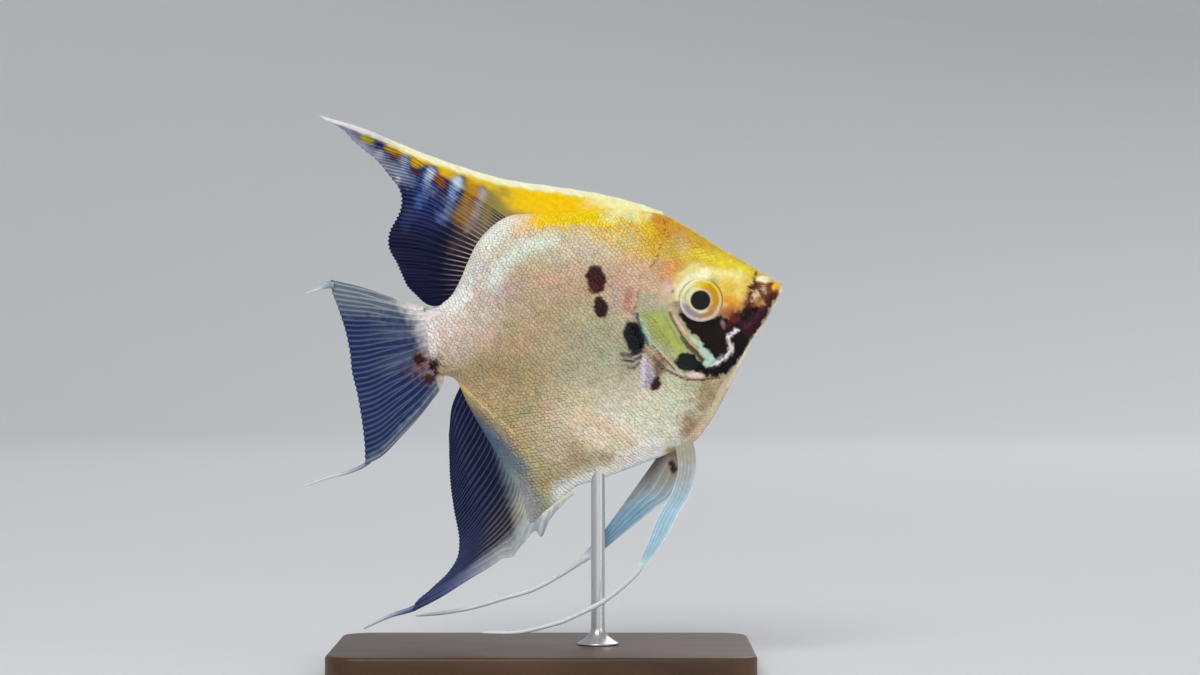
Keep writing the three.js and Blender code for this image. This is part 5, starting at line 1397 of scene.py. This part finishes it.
SAIL = stretched(
    root=through(beside_last(spiny_dorsal, 0, GAP), (16.4, 21.6), (13.4, 18.8), (10.9, 15.2),
                 (8.5, 11.2), (6.4, 8)),
    lead=through(*[beside_last(spiny_dorsal, v, GAP) for v in (0, 0.5, 1)], (-17.1, 52.5)),
    tips=through((-17.1, 52.5), (-16.6, 51.8), (-12.3, 48.5), (-10.2, 45.4), (-6.5, 41.3), (-4.3, 37.7),
                 (-2.2, 33.2), (-2.9, 29.4), (-5.9, 25), (-6.5, 21.8), (-5.3, 18.2), (-4.5, 15.3),
                 (-3.9, 13.2), (-2.6, 11.3), (-1.3, 9.6), (-0.2, 8.5)),
    last=through((6.4, 8), (3.4, 7.8), (1.4, 7.8), (-0.2, 8.5)),
    root_power=1.15, tip_power=0.72, sway=lambda u, v: 1.6 * v ** 2 * np.sin(4.4 * u))

ANAL_MARGIN = through((24.6, -37), (21.2, -39.4), (18.3, -42.1), (16.4, -44.9), (15.2, -43.6),
                      (12.3, -45.7), (9.8, -48))
ANAL_SPINE_ROOT = through((25, -34.2), (21, -36), (17.4, -38), (14.9, -39.8))


def spiny_anal(u, v):
    """The front of the anal fin: straight spines from the sheath to the fin's margin."""
    return mix(along(ANAL_SPINE_ROOT, u), along(ANAL_MARGIN, u), v)


KEEL = stretched(
    root=through(beside_last(spiny_anal, 0, -GAP), (14.2, -35.4), (12.2, -29.2), (8.4, -19.8),
                 (6.2, -13.6), (4.6, -9.4)),
    lead=through(beside_last(spiny_anal, 0, -GAP), (12.7, -43.6), (7.2, -47.8), (0, -51.2),
                 (-6.9, -54.2), (-13.5, -56.4)),
    tips=through((-13.5, -56.4), (-12.8, -54.7), (-9.2, -52.3), (-4.8, -49.3), (-2.3, -46.4),
                 (-1.3, -42.7), (-1.4, -36.1), (-1.2, -29.6), (0.1, -20)),
    last=through((4.6, -9.4), (1.9, -13.8), (0.1, -20)),
    front=through(*[beside_last(spiny_anal, v, -GAP) for v in (0, 0.5, 1)], (7.4, -48.1),
                  (4.9, -49.3), (-0.4, -51.4), (-6.9, -54.2), (-13.5, -56.4)),
    tip_power=0.85, sway=lambda u, v: -1.4 * v ** 2 * np.sin(2.6 * v + 2 * u))

TAIL = stretched(
    root=through((1.2, 7), (0.9, 0), (1.6, -6)),
    lead=through((1.2, 7), (-0.6, 8.1), (-3.3, 9), (-8.4, 11.7), (-13.4, 14.3), (-17.5, 16),
                 (-20, 17)),
    tips=through((-20, 17), (-20, 14.3), (-19.3, 10.7), (-18.6, 6.2), (-18.3, 1.4), (-18.5, -3.4),
                 (-18.1, -8.5), (-18, -15), (-18.2, -19.6), (-18.7, -23.6)),
    last=through((1.6, -6), (0.2, -9.6), (-2.4, -12.3), (-4.9, -14.7), (-9.9, -18.7),
                 (-14.8, -22.3), (-18.7, -23.6)),
    sway=lambda u, v: 1.2 * v ** 2 * np.sin(3.1 * u + 0.6))

PELVIC_RIGHT = stretched(
    root=through((51.7, -28.8, -0.9), (47.8, -29.8, -0.9)),
    lead=through((51.7, -28.8, -0.9), (51.8, -33, -1.6), (50.8, -37.6, -2.6), (49.1, -41.1, -3.1),
                 (46.6, -43.9, -3.6), (43.7, -47.8, -4.2), (38.9, -52.9, -5), (36.4, -55.2, -5.2)),
    tips=through((36.4, -55.2, -5.2), (35.3, -54.5, -5.2)),
    last=through((47.8, -29.8, -0.9), (47.6, -35, -1.8), (45.5, -39.6, -2.6), (41.6, -44.4, -3.6),
                 (37.9, -50.7, -4.8), (35.3, -54.5, -5.2)))

PELVIC_LEFT = stretched(
    root=through((50.6, -29, 0.9), (44.9, -30.4, 0.9)),
    lead=through((50.6, -29, 0.9), (49.5, -35.8, 1.9), (45.8, -41, 2.9), (42, -42.5, 3.4),
                 (33.4, -47.4, 4.5), (28.6, -50.2, 5), (24.5, -52.2, 5.2)),
    tips=through((24.5, -52.2, 5.2), (24.1, -50.5, 5.2)),
    last=through((44.9, -30.4, 0.9), (42.1, -33.4, 1.4), (38.1, -37.5, 2.4), (33.6, -42, 3.6),
                 (29.2, -46.4, 4.5), (24.1, -50.5, 5.2)))


def over_flank(x, z, side, out=0.0):
    """A row of x, z and y for a point that stands off the flank by a distance."""
    return x, z, side * (float(half_thickness(np.array(x), np.array(z))) + out)


def pectoral(side):
    """The middle surface of a pectoral fin: a clear fan that springs from behind the gill cover and
    stands off the flank."""
    upper_root, lower_root = over_flank(44.4, -10.6, side, -1), over_flank(43.6, -15, side, -1)
    upper_tip, lower_tip = over_flank(30.6, -6.8, side, 4.2), over_flank(35, -21.5, side, 4.4)
    return stretched(
        root=through(upper_root, lower_root),
        lead=through(upper_root, over_flank(38, -8, side, 2.2), upper_tip),
        tips=through(upper_tip, over_flank(28.2, -11.5, side, 4.6), over_flank(29.6, -17, side, 4.8),
                     lower_tip),
        last=through(lower_root, over_flank(39.2, -18.6, side, 2), lower_tip))


PELVIC_WIDTHS = [(0, 1.2), (0.1, 1.1), (0.6, 0.95), (0.9, 0.75), (1, 0.45)]

# each filament: the solids that it replaces, its width at shares of its way, and its path, which
# begins within its fin
WHIPS = {
    "anal_thread": (
        ("anal_fin_filament",), [(0, 1.3), (0.25, 1.1), (1, 0.36)],
        [(-11.6, -55.1), (-13.7, -55.8), (-18.5, -56.5), (-24.5, -58.3)]),
    "caudal_thread_upper": (
        ("caudal_filament_upper",), [(0, 1.2), (0.3, 1.7), (0.5, 0.6), (1, 0.36)],
        [(-19.2, 15.7), (-20.5, 15.9), (-21.4, 15.9), (-22.4, 15.4), (-24, 15.1), (-25.8, 14.8)]),
    "caudal_thread_lower": (
        ("caudal_filament_lower",), [(0, 0.9), (0.3, 0.8), (1, 0.36)],
        [(-17.6, -23), (-19.3, -23.8), (-22.8, -24.6), (-27.3, -25.1), (-32.2, -26)]),
    "pelvic_thread_right": (
        ("pelvic_filament_right_1", "pelvic_filament_right_2"), PELVIC_WIDTHS,
        [(37, -53.6, -5), (35.4, -55.2, -5.2), (31.7, -57.8, -5.5), (27, -60.3, -5.6),
         (18.2, -63, -5.4), (17.9, -63.05, -5.4), (9, -63.9, -4.8), (0.5, -62.8, -4)]),
    "pelvic_thread_left": (
        ("pelvic_filament_left_1", "pelvic_filament_left_2"), PELVIC_WIDTHS,
        [(25.8, -50.9, 5.1), (24, -51.6, 5.2), (19.3, -53.7, 5.3), (12.4, -56.1, 5.2),
         (6, -56.9, 4.9), (5.7, -56.95, 4.9), (-0.9, -57.8, 4.4), (-7.5, -57.9, 3.8),
         (-13.4, -57.5, 3.2)]),
}


# ------------------------------------------------------------------ finishes


def new_group(name, inputs, outputs):
    """An empty node group with its sockets: (name, type, default) in and (name, type) out."""
    group = bpy.data.node_groups.new(name, "ShaderNodeTree")
    for title, kind, default in inputs:
        socket = group.interface.new_socket(title, in_out="INPUT", socket_type=kind)
        socket.default_value = default
    for title, kind in outputs:
        group.interface.new_socket(title, in_out="OUTPUT", socket_type=kind)
    return group, group.nodes.new("NodeGroupInput"), group.nodes.new("NodeGroupOutput")


def add_node(tree, kind, feeds=None, **values):
    """A node with its settings and plain values. Each socket that feeds names is joined to an output
    or set to a value."""
    node = tree.nodes.new(kind)
    for key, value in values.items():
        if hasattr(node, key):
            setattr(node, key, value)
        else:
            node.inputs[key.replace("_", " ")].default_value = value
    for socket, source in (feeds or {}).items():
        if isinstance(source, bpy.types.NodeSocket):
            tree.links.new(source, node.inputs[socket])
        else:
            node.inputs[socket].default_value = source
    return node


def mottle_group():
    """Fine unevenness of a living surface: Color, which is darkened a little where a noise is low,
    and Height, a finer noise for a bump."""
    group = bpy.data.node_groups.get("Fine Mottle")
    if group:
        return group
    group, source, sink = new_group(
        "Fine Mottle",
        [("Color", "NodeSocketColor", (1, 1, 1, 1)), ("Grain", "NodeSocketFloat", 900.0),
         ("Depth", "NodeSocketFloat", 0.2)],
        [("Color", "NodeSocketColor"), ("Height", "NodeSocketFloat")])
    place = add_node(group, "ShaderNodeTexCoord").outputs["Object"]
    grain = source.outputs["Grain"]
    wide = add_node(group, "ShaderNodeTexNoise", {"Vector": place, "Scale": grain}, Detail=3.0)
    finer = add_node(group, "ShaderNodeMath", {0: grain, 1: 2.6}, operation="MULTIPLY")
    fine = add_node(group, "ShaderNodeTexNoise", {"Vector": place, "Scale": finer.outputs[0]},
                    Detail=2.0)
    centred = add_node(group, "ShaderNodeMapRange", {"Value": wide.outputs["Fac"]}, From_Min=0.3,
                       From_Max=0.7, To_Min=1.0, To_Max=0.0)
    amount = add_node(group, "ShaderNodeMath", {0: centred.outputs["Result"],
                                                1: source.outputs["Depth"]}, operation="MULTIPLY")
    shade = add_node(group, "ShaderNodeMath", {0: 1.0, 1: amount.outputs[0]}, operation="SUBTRACT")
    scaled = add_node(group, "ShaderNodeVectorMath", {0: source.outputs["Color"],
                                                      "Scale": shade.outputs[0]}, operation="SCALE")
    group.links.new(scaled.outputs[0], sink.inputs["Color"])
    group.links.new(fine.outputs["Fac"], sink.inputs["Height"])
    return group


def new_material(name, **values):
    """A material with its Principled shader, whose named sockets are set to plain values."""
    material = bpy.data.materials.new(name)
    material.use_nodes = True
    shader = material.node_tree.nodes["Principled BSDF"]
    for key, value in values.items():
        shader.inputs[key.replace("_", " ")].default_value = value
    return material, material.node_tree, shader


def roughen(tree, shader, height, distance, strength=1.0, gloss=None):
    """Bumps a finish by a noise, and spreads its roughness with it over the range of a gloss."""
    raised = add_node(tree, "ShaderNodeBump", {"Height": height}, Distance=distance,
                      Strength=strength)
    tree.links.new(raised.outputs["Normal"], shader.inputs["Normal"])
    if gloss:
        spread = add_node(tree, "ShaderNodeMapRange", {"Value": height}, To_Min=gloss[0],
                          To_Max=gloss[1])
        tree.links.new(spread.outputs["Result"], shader.inputs["Roughness"])


def stretched_noise(tree, scale, **values):
    """Noise in the piece's own space, with a scale of its own along each axis."""
    place = add_node(tree, "ShaderNodeTexCoord")
    drawn = add_node(tree, "ShaderNodeMapping", {"Vector": place.outputs["Object"]}, Scale=scale)
    noise_node = add_node(tree, "ShaderNodeTexNoise", {"Vector": drawn.outputs["Vector"]},
                          Scale=1.0, **values)
    return noise_node.outputs["Fac"]


def painted(name, grain, depth, relief, clear=False, gloss=None, **values):
    """A finish that takes its colour from the piece's own Tint, mottled, with a fine bump; its
    roughness may vary with the bump's noise, and its Clear attribute may thin it out."""
    material, tree, shader = new_material(name, **values)
    tint = add_node(tree, "ShaderNodeAttribute", attribute_name="Tint")
    mottle = add_node(tree, "ShaderNodeGroup", {"Color": tint.outputs["Color"], "Grain": grain,
                                                "Depth": depth}, node_tree=mottle_group())
    tree.links.new(mottle.outputs["Color"], shader.inputs["Base Color"])
    roughen(tree, shader, mottle.outputs["Height"], relief, gloss=gloss)
    if clear:
        see_through = add_node(tree, "ShaderNodeAttribute", attribute_name="Clear")
        tree.links.new(see_through.outputs["Fac"], shader.inputs["Alpha"])
    return material


def wood_material(colour):
    """Dark stained wood: noise stretched along the grain mixes two browns, and a finer one along the
    same grain gives pores."""
    material, tree, shader = new_material("Stained wood", Roughness=0.45, Specular_IOR_Level=0.3,
                                          Coat_Weight=0.1)
    bands = stretched_noise(tree, (12, 150, 60), Detail=6.0, Distortion=0.8)
    ramp = add_node(tree, "ShaderNodeValToRGB", {"Fac": bands})
    stops = (0.35, [0.45 * c for c in colour]), (0.68, colour)
    for element, (position, brown) in zip(ramp.color_ramp.elements, stops):
        element.position, element.color = position, (*brown, 1)
    tree.links.new(ramp.outputs["Color"], shader.inputs["Base Color"])
    roughen(tree, shader, stretched_noise(tree, (120, 2400, 900), Detail=2.0), 0.00008, 0.6)
    return material


def steel_material():
    """Brushed steel: rings of fine noise round the rod vary its roughness and bump it."""
    material, tree, shader = new_material("Brushed steel", Metallic=1.0,
                                          Base_Color=(0.62, 0.62, 0.63, 1))
    rings = stretched_noise(tree, (200, 200, 9000), Detail=3.0)
    roughen(tree, shader, rings, 0.00002, gloss=(0.22, 0.42))
    return material


# ------------------------------------------------------------------ sizes and colours a user changes


def colour_property(name, description, code):
    """A colour whose default is a hex code."""
    return bpy.props.FloatVectorProperty(name=name, description=description, default=tone(code),
                                         size=3, min=0, max=1, subtype="COLOR")


def length_property(name, description, default, low, high):
    """A length in metres whose default and range are given in millimetres."""
    return bpy.props.FloatProperty(name=name, description=description, default=default * MM,
                                   min=low * MM, max=high * MM, subtype="DISTANCE", unit="LENGTH")


class MarbleAngelfishCoat(bpy.types.PropertyGroup):
    scale_pitch: length_property("Scale pitch", "Spacing of the scales along the flank", 0.92, 0.6,
                                 3)
    scale_lift: length_property("Scale lift", "Height of a scale's free edge over the skin", 0.085,
                                0.02, 0.5)
    gloss: bpy.props.FloatProperty(
        name="Roughness", description="Roughness of the scales' surface", default=0.42, min=0,
        max=1, subtype="FACTOR")


class MarbleAngelfishFins(bpy.types.PropertyGroup):
    membrane: length_property("Membrane", "Half the thickness of a fin between its rays",
                              RAY_MEMBRANE, 0.05, 0.3)
    ridge: length_property("Ray height", "Height of a fin ray over each face of the membrane",
                           RAY_HEIGHT, 0, 0.4)
    filament: colour_property("Filament", "Free filaments of the fins", "dfe6ea")


class MarbleAngelfishStand(bpy.types.PropertyGroup):
    wood: colour_property("Wood", "Stained hardwood of the base", "5c3e28")
    rod_radius: length_property("Rod radius", "Radius of the rod under the belly", 1.5, 0.8, 3)


class MarbleAngelfishStage(bpy.types.PropertyGroup):
    floor: colour_property("Floor", "Plain floor and backdrop", "dcdee0")
    key_power: bpy.props.FloatProperty(
        name="Key light", description="Power of the large soft light", default=17.3, min=0, max=200,
        unit="POWER")


# ------------------------------------------------------------------ pieces


class OBJECT_OT_angelfish_skin(bpy.types.Operator):
    """One skin over head, jaws, gill covers, trunk and tail stem, with its folds and markings"""
    bl_idname = "object.angelfish_skin"
    bl_label = "Add Skin"

    def execute(self, context):
        points, faces, unwrap = skin_mesh(SKIN_SPOKES, SKIN_RINGS)
        material = painted("Angelfish skin", grain=1500, depth=0.16, relief=0.00006,
                           gloss=(0.3, 0.55), Specular_IOR_Level=0.12, Coat_Weight=0.05,
                           Coat_Roughness=0.2)
        make_piece("skin", to_world(points), faces, material,
                   replaces=("head", "upper_jaw", "lower_jaw", "gill_cover_left",
                             "gill_cover_right", "trunk", "caudal_peduncle"),
                   tint=body_tint(points[:, 0], points[:, 2]), unwrap=unwrap)
        return {"FINISHED"}


class OBJECT_OT_angelfish_scales(bpy.types.Operator):
    """Overlapping scales on both flanks and round the rim of the body"""
    bl_idname = "object.angelfish_scales"
    bl_label = "Add Scales"

    def execute(self, context):
        coat = context.scene.angelfish_coat
        material = painted("Angelfish scales", grain=1300, depth=0.12, relief=0.00002,
                           gloss=(coat.gloss - 0.14, coat.gloss + 0.1),
                           Specular_IOR_Level=0.2, Coat_Weight=0.05, Coat_Roughness=0.2)
        pitch, lift = coat.scale_pitch / MM, coat.scale_lift / MM
        form = scale_form()[0]
        for side, name in SIDES:
            x, z = flank_roots(pitch, SCALE_ROW * pitch, 5)
            size = np.where(is_small_scaled(x, z), HEAD_SCALE, 1.0)
            rise = lift * size ** 3 * (0.3 + 0.7 * from_bare(x, z))
            points, faces, px, pz = spread_scales(x, z, side, SCALE_LENGTH * pitch * size,
                                                  SCALE_WIDTH * pitch * size, rise, 21 + side)
            far, angle = about_hub(x, z)
            self.add(f"scales_{name}", points, faces, px.ravel(), pz.ravel(),
                     far / outline_radius(angle), angle, side, form, material)
            points, faces, px, pz, share, angle = rim_scales(side, 31 + side)
            self.add(f"scales_rim_{name}", points, faces, px, pz, share[:, -1], angle[:, -1], side,
                     form, material)
        return {"FINISHED"}

    def add(self, name, points, faces, x, z, share, angle, side, form, material):
        """One piece of scales, its colours those of the skin under it, darkened by painted shade
        towards each root, where it tucks under the scale before, so paler to each free edge; and each
        scale a patch of the unwrap at its root."""
        count = len(points) // len(form)
        draw = np.random.default_rng(len(points))
        net = painted_root_shade(x.reshape(count, -1)[:, :1], z.reshape(count, -1)[:, :1])
        # painted shade: each scale's root, tucked under the scale before, is darkened
        shade = 1.04 - net * (1 - form[:, 2].clip(0, 1))[None]
        shade = shade * draw.uniform(0.91, 1.08, (count, 1))
        tint = np.clip(body_tint(x, z) * shade.reshape(-1, 1), 0, 1)
        root = skin_unwrap(share, angle, side)
        unwrap = (root[:, None] + form[None, :, :2] * 0.003).reshape(-1, 2)
        make_piece(name, to_world(points), faces, material, tint=tint, unwrap=unwrap)


class OBJECT_OT_angelfish_eyes(bpy.types.Operator):
    """Both eyes: a domed lens with a black pupil, a pale ring, a gold iris and a cream rim"""
    bl_idname = "object.angelfish_eyes"
    bl_label = "Add Eyes"

    def execute(self, context):
        for side, name in SIDES:
            points, faces, radius, turn = eye_mesh(side)
            material = painted(f"Angelfish eye {name}", grain=2200, depth=0.14, relief=0.00002,
                               Roughness=0.25, Specular_IOR_Level=0.15, Coat_Weight=0.1,
                               Coat_Roughness=0.08)
            make_piece(f"eyeball_{name}", to_world(points), faces, material,
                       replaces=(f"eye_{name}",), tint=eye_tint(radius, turn))
        return {"FINISHED"}


class OBJECT_OT_angelfish_fins(bpy.types.Operator):
    """The rayed fins, each a thin membrane between ridged, branching rays"""
    bl_idname = "object.angelfish_fins"
    bl_label = "Add Fins"

    def execute(self, context):
        fins = context.scene.angelfish_fins
        thin = {"membrane": fins.membrane / MM, "ridge": fins.ridge / MM}
        finish = painted("Rayed fin", grain=900, depth=0.14, relief=0.00004, clear=True,
                         Roughness=0.45, Specular_IOR_Level=0.08)
        rows = (
            ("dorsal_spines", "dorsal_fin_spiny", "fin_gold", dorsal_front_tint,
             dict(place=spiny_dorsal, rays=12, rows=26, per_ray=12, fork=0, notch=0.2, low=0.2)),
            ("dorsal_sail", "dorsal_fin_soft", "fin_blue", dorsal_tint,
             dict(place=SAIL, rays=26, rows=90, per_ray=12, notch=0.35, ripple=0.12)),
            ("anal_spines", "anal_fin_spiny", "fin_blue", anal_spines_tint,
             dict(place=spiny_anal, rays=6, rows=24, per_ray=12, fork=0, notch=0.35, low=0.4)),
            ("anal_keel", "anal_fin_soft", "fin_blue", keel_tint,
             dict(place=KEEL, rays=27, rows=90, per_ray=12, notch=0.25, ripple=0.1)),
            ("tail_fin", "caudal_fin", "fin_tail", tail_tint,
             dict(place=TAIL, rays=18, rows=70, per_ray=14, notch=0.2, ripple=0.1)),
            ("pelvic_blade_right", "pelvic_fin_right", "fin_pale", pelvic_tint,
             dict(place=PELVIC_RIGHT, rays=6, rows=90, per_ray=10, fork=0)),
            ("pelvic_blade_left", "pelvic_fin_left", "fin_pale", pelvic_left_tint,
             dict(place=PELVIC_LEFT, rays=6, rows=90, per_ray=10, fork=0)),
            ("pectoral_left", "pectoral_fin_left", "fin_clear", pectoral_tint,
             dict(place=pectoral(1), rays=11, rows=40, per_ray=10, fork=0.25, notch=0.3)),
            ("pectoral_right", "pectoral_fin_right", "fin_clear", pectoral_tint,
             dict(place=pectoral(-1), rays=11, rows=40, per_ray=10, fork=0.25, notch=0.3)),
        )
        for name, node, slot, tint_of, form in rows:
            points, faces, u, v, high = fin_sheet(**form, **thin)
            tint, clear = tint_of(points[:, 0], points[:, 2], u, v, high)
            make_piece(name, to_world(points), faces, finish, replaces=(node,), tint=tint,
                       clear=clear)
        return {"FINISHED"}


class OBJECT_OT_angelfish_filaments(bpy.types.Operator):
    """The drawn-out filaments of the tail, anal and pelvic fins"""
    bl_idname = "object.angelfish_filaments"
    bl_label = "Add Filaments"

    def execute(self, context):
        pale = context.scene.angelfish_fins.filament
        material = painted("Filament", grain=1200, depth=0.12, relief=0.00003, Roughness=0.4,
                           Coat_Weight=0.2)
        for name, (nodes, widths, path) in WHIPS.items():
            points, faces, share = whip(through(*path), widths, 0.6)
            tint = filament_tint(name, share, np.array(pale))
            make_piece(name, to_world(points), faces, material, replaces=nodes, tint=tint)
        return {"FINISHED"}


class OBJECT_OT_angelfish_stand(bpy.types.Operator):
    """The display stand: a stained base with softened edges and a turned steel rod"""
    bl_idname = "object.angelfish_stand"
    bl_label = "Add Stand"

    def execute(self, context):
        stand = context.scene.angelfish_stand
        points, faces = base_mesh()
        make_piece("stand_base_board", points, faces, wood_material(stand.wood),
                   replaces=("stand_base",))
        points, faces = rod_mesh(stand.rod_radius)
        make_piece("stand_rod_turned", points, faces, steel_material(),
                   replaces=("stand_rod",))
        return {"FINISHED"}


class OBJECT_OT_angelfish_stage(bpy.types.Operator):
    """Plain round floor and backdrop, soft lights and the camera"""
    bl_idname = "object.angelfish_stage"
    bl_label = "Add Stage"

    def execute(self, context):
        stage = context.scene.angelfish_stage
        add_bowl(stage.floor)
        add_light("key", (-0.35, -1.35, 1.25), 1.0, stage.key_power)
        add_light("low", (0.1, -1.2, 0.1), 0.8, 0.07 * stage.key_power)
        add_light("fill", (1.4, -1.1, 0.5), 1.2, 0.3 * stage.key_power)
        add_light("rear", (0.6, 1.6, 1.3), 1.2, 0.6 * stage.key_power)
        world = bpy.data.worlds.new("Soft room")
        world.use_nodes = True
        sky = world.node_tree.nodes["Background"]
        sky.inputs["Color"].default_value, sky.inputs["Strength"].default_value = (1, 1, 1, 1), 0.45
        context.scene.world = world
        context.scene.view_settings.view_transform = "Standard"
        lens = bpy.data.cameras.new("Camera")
        lens.lens, lens.sensor_width, lens.sensor_fit = 100, 36, "HORIZONTAL"
        lens.clip_start, lens.clip_end = 0.01, 20
        camera = bpy.data.objects.new("Camera", lens)
        context.collection.objects.link(camera)
        camera.location = Vector(CAMERA_AIM) - Vector((0, CAMERA_DISTANCE, 0))
        camera.rotation_euler = (math.pi / 2, 0, 0)
        context.scene.camera = camera
        return {"FINISHED"}


# ------------------------------------------------------------------ panel and running order

PIECES = (OBJECT_OT_angelfish_skin, OBJECT_OT_angelfish_scales, OBJECT_OT_angelfish_eyes,
          OBJECT_OT_angelfish_fins, OBJECT_OT_angelfish_filaments, OBJECT_OT_angelfish_stand,
          OBJECT_OT_angelfish_stage)
SETTINGS = (("angelfish_coat", MarbleAngelfishCoat), ("angelfish_fins", MarbleAngelfishFins),
            ("angelfish_stand", MarbleAngelfishStand), ("angelfish_stage", MarbleAngelfishStage))


class VIEW3D_PT_angelfish(bpy.types.Panel):
    """Sizes, colours and pieces of the angelfish"""
    bl_idname = "VIEW3D_PT_angelfish"
    bl_label = "Marble Angelfish"
    bl_space_type = "VIEW_3D"
    bl_region_type = "UI"
    bl_category = "Angelfish"

    def draw(self, context):
        for name, kind in SETTINGS:
            box = self.layout.box()
            for key in kind.__annotations__:
                box.prop(getattr(context.scene, name), key)
        for piece in PIECES:
            self.layout.operator(piece.bl_idname)


CLASSES = (*(kind for _, kind in SETTINGS), *PIECES, VIEW3D_PT_angelfish)


def register():
    for kind in CLASSES:
        bpy.utils.register_class(kind)
    for name, kind in SETTINGS:
        setattr(bpy.types.Scene, name, bpy.props.PointerProperty(type=kind))


def unregister():
    for name, _ in SETTINGS:
        delattr(bpy.types.Scene, name)
    for kind in reversed(CLASSES):
        bpy.utils.unregister_class(kind)


def main():
    """Every piece in order."""
    register()
    for piece in PIECES:
        group, name = piece.bl_idname.split(".")
        getattr(getattr(bpy.ops, group), name)()


if __name__ == "__main__":
    main()
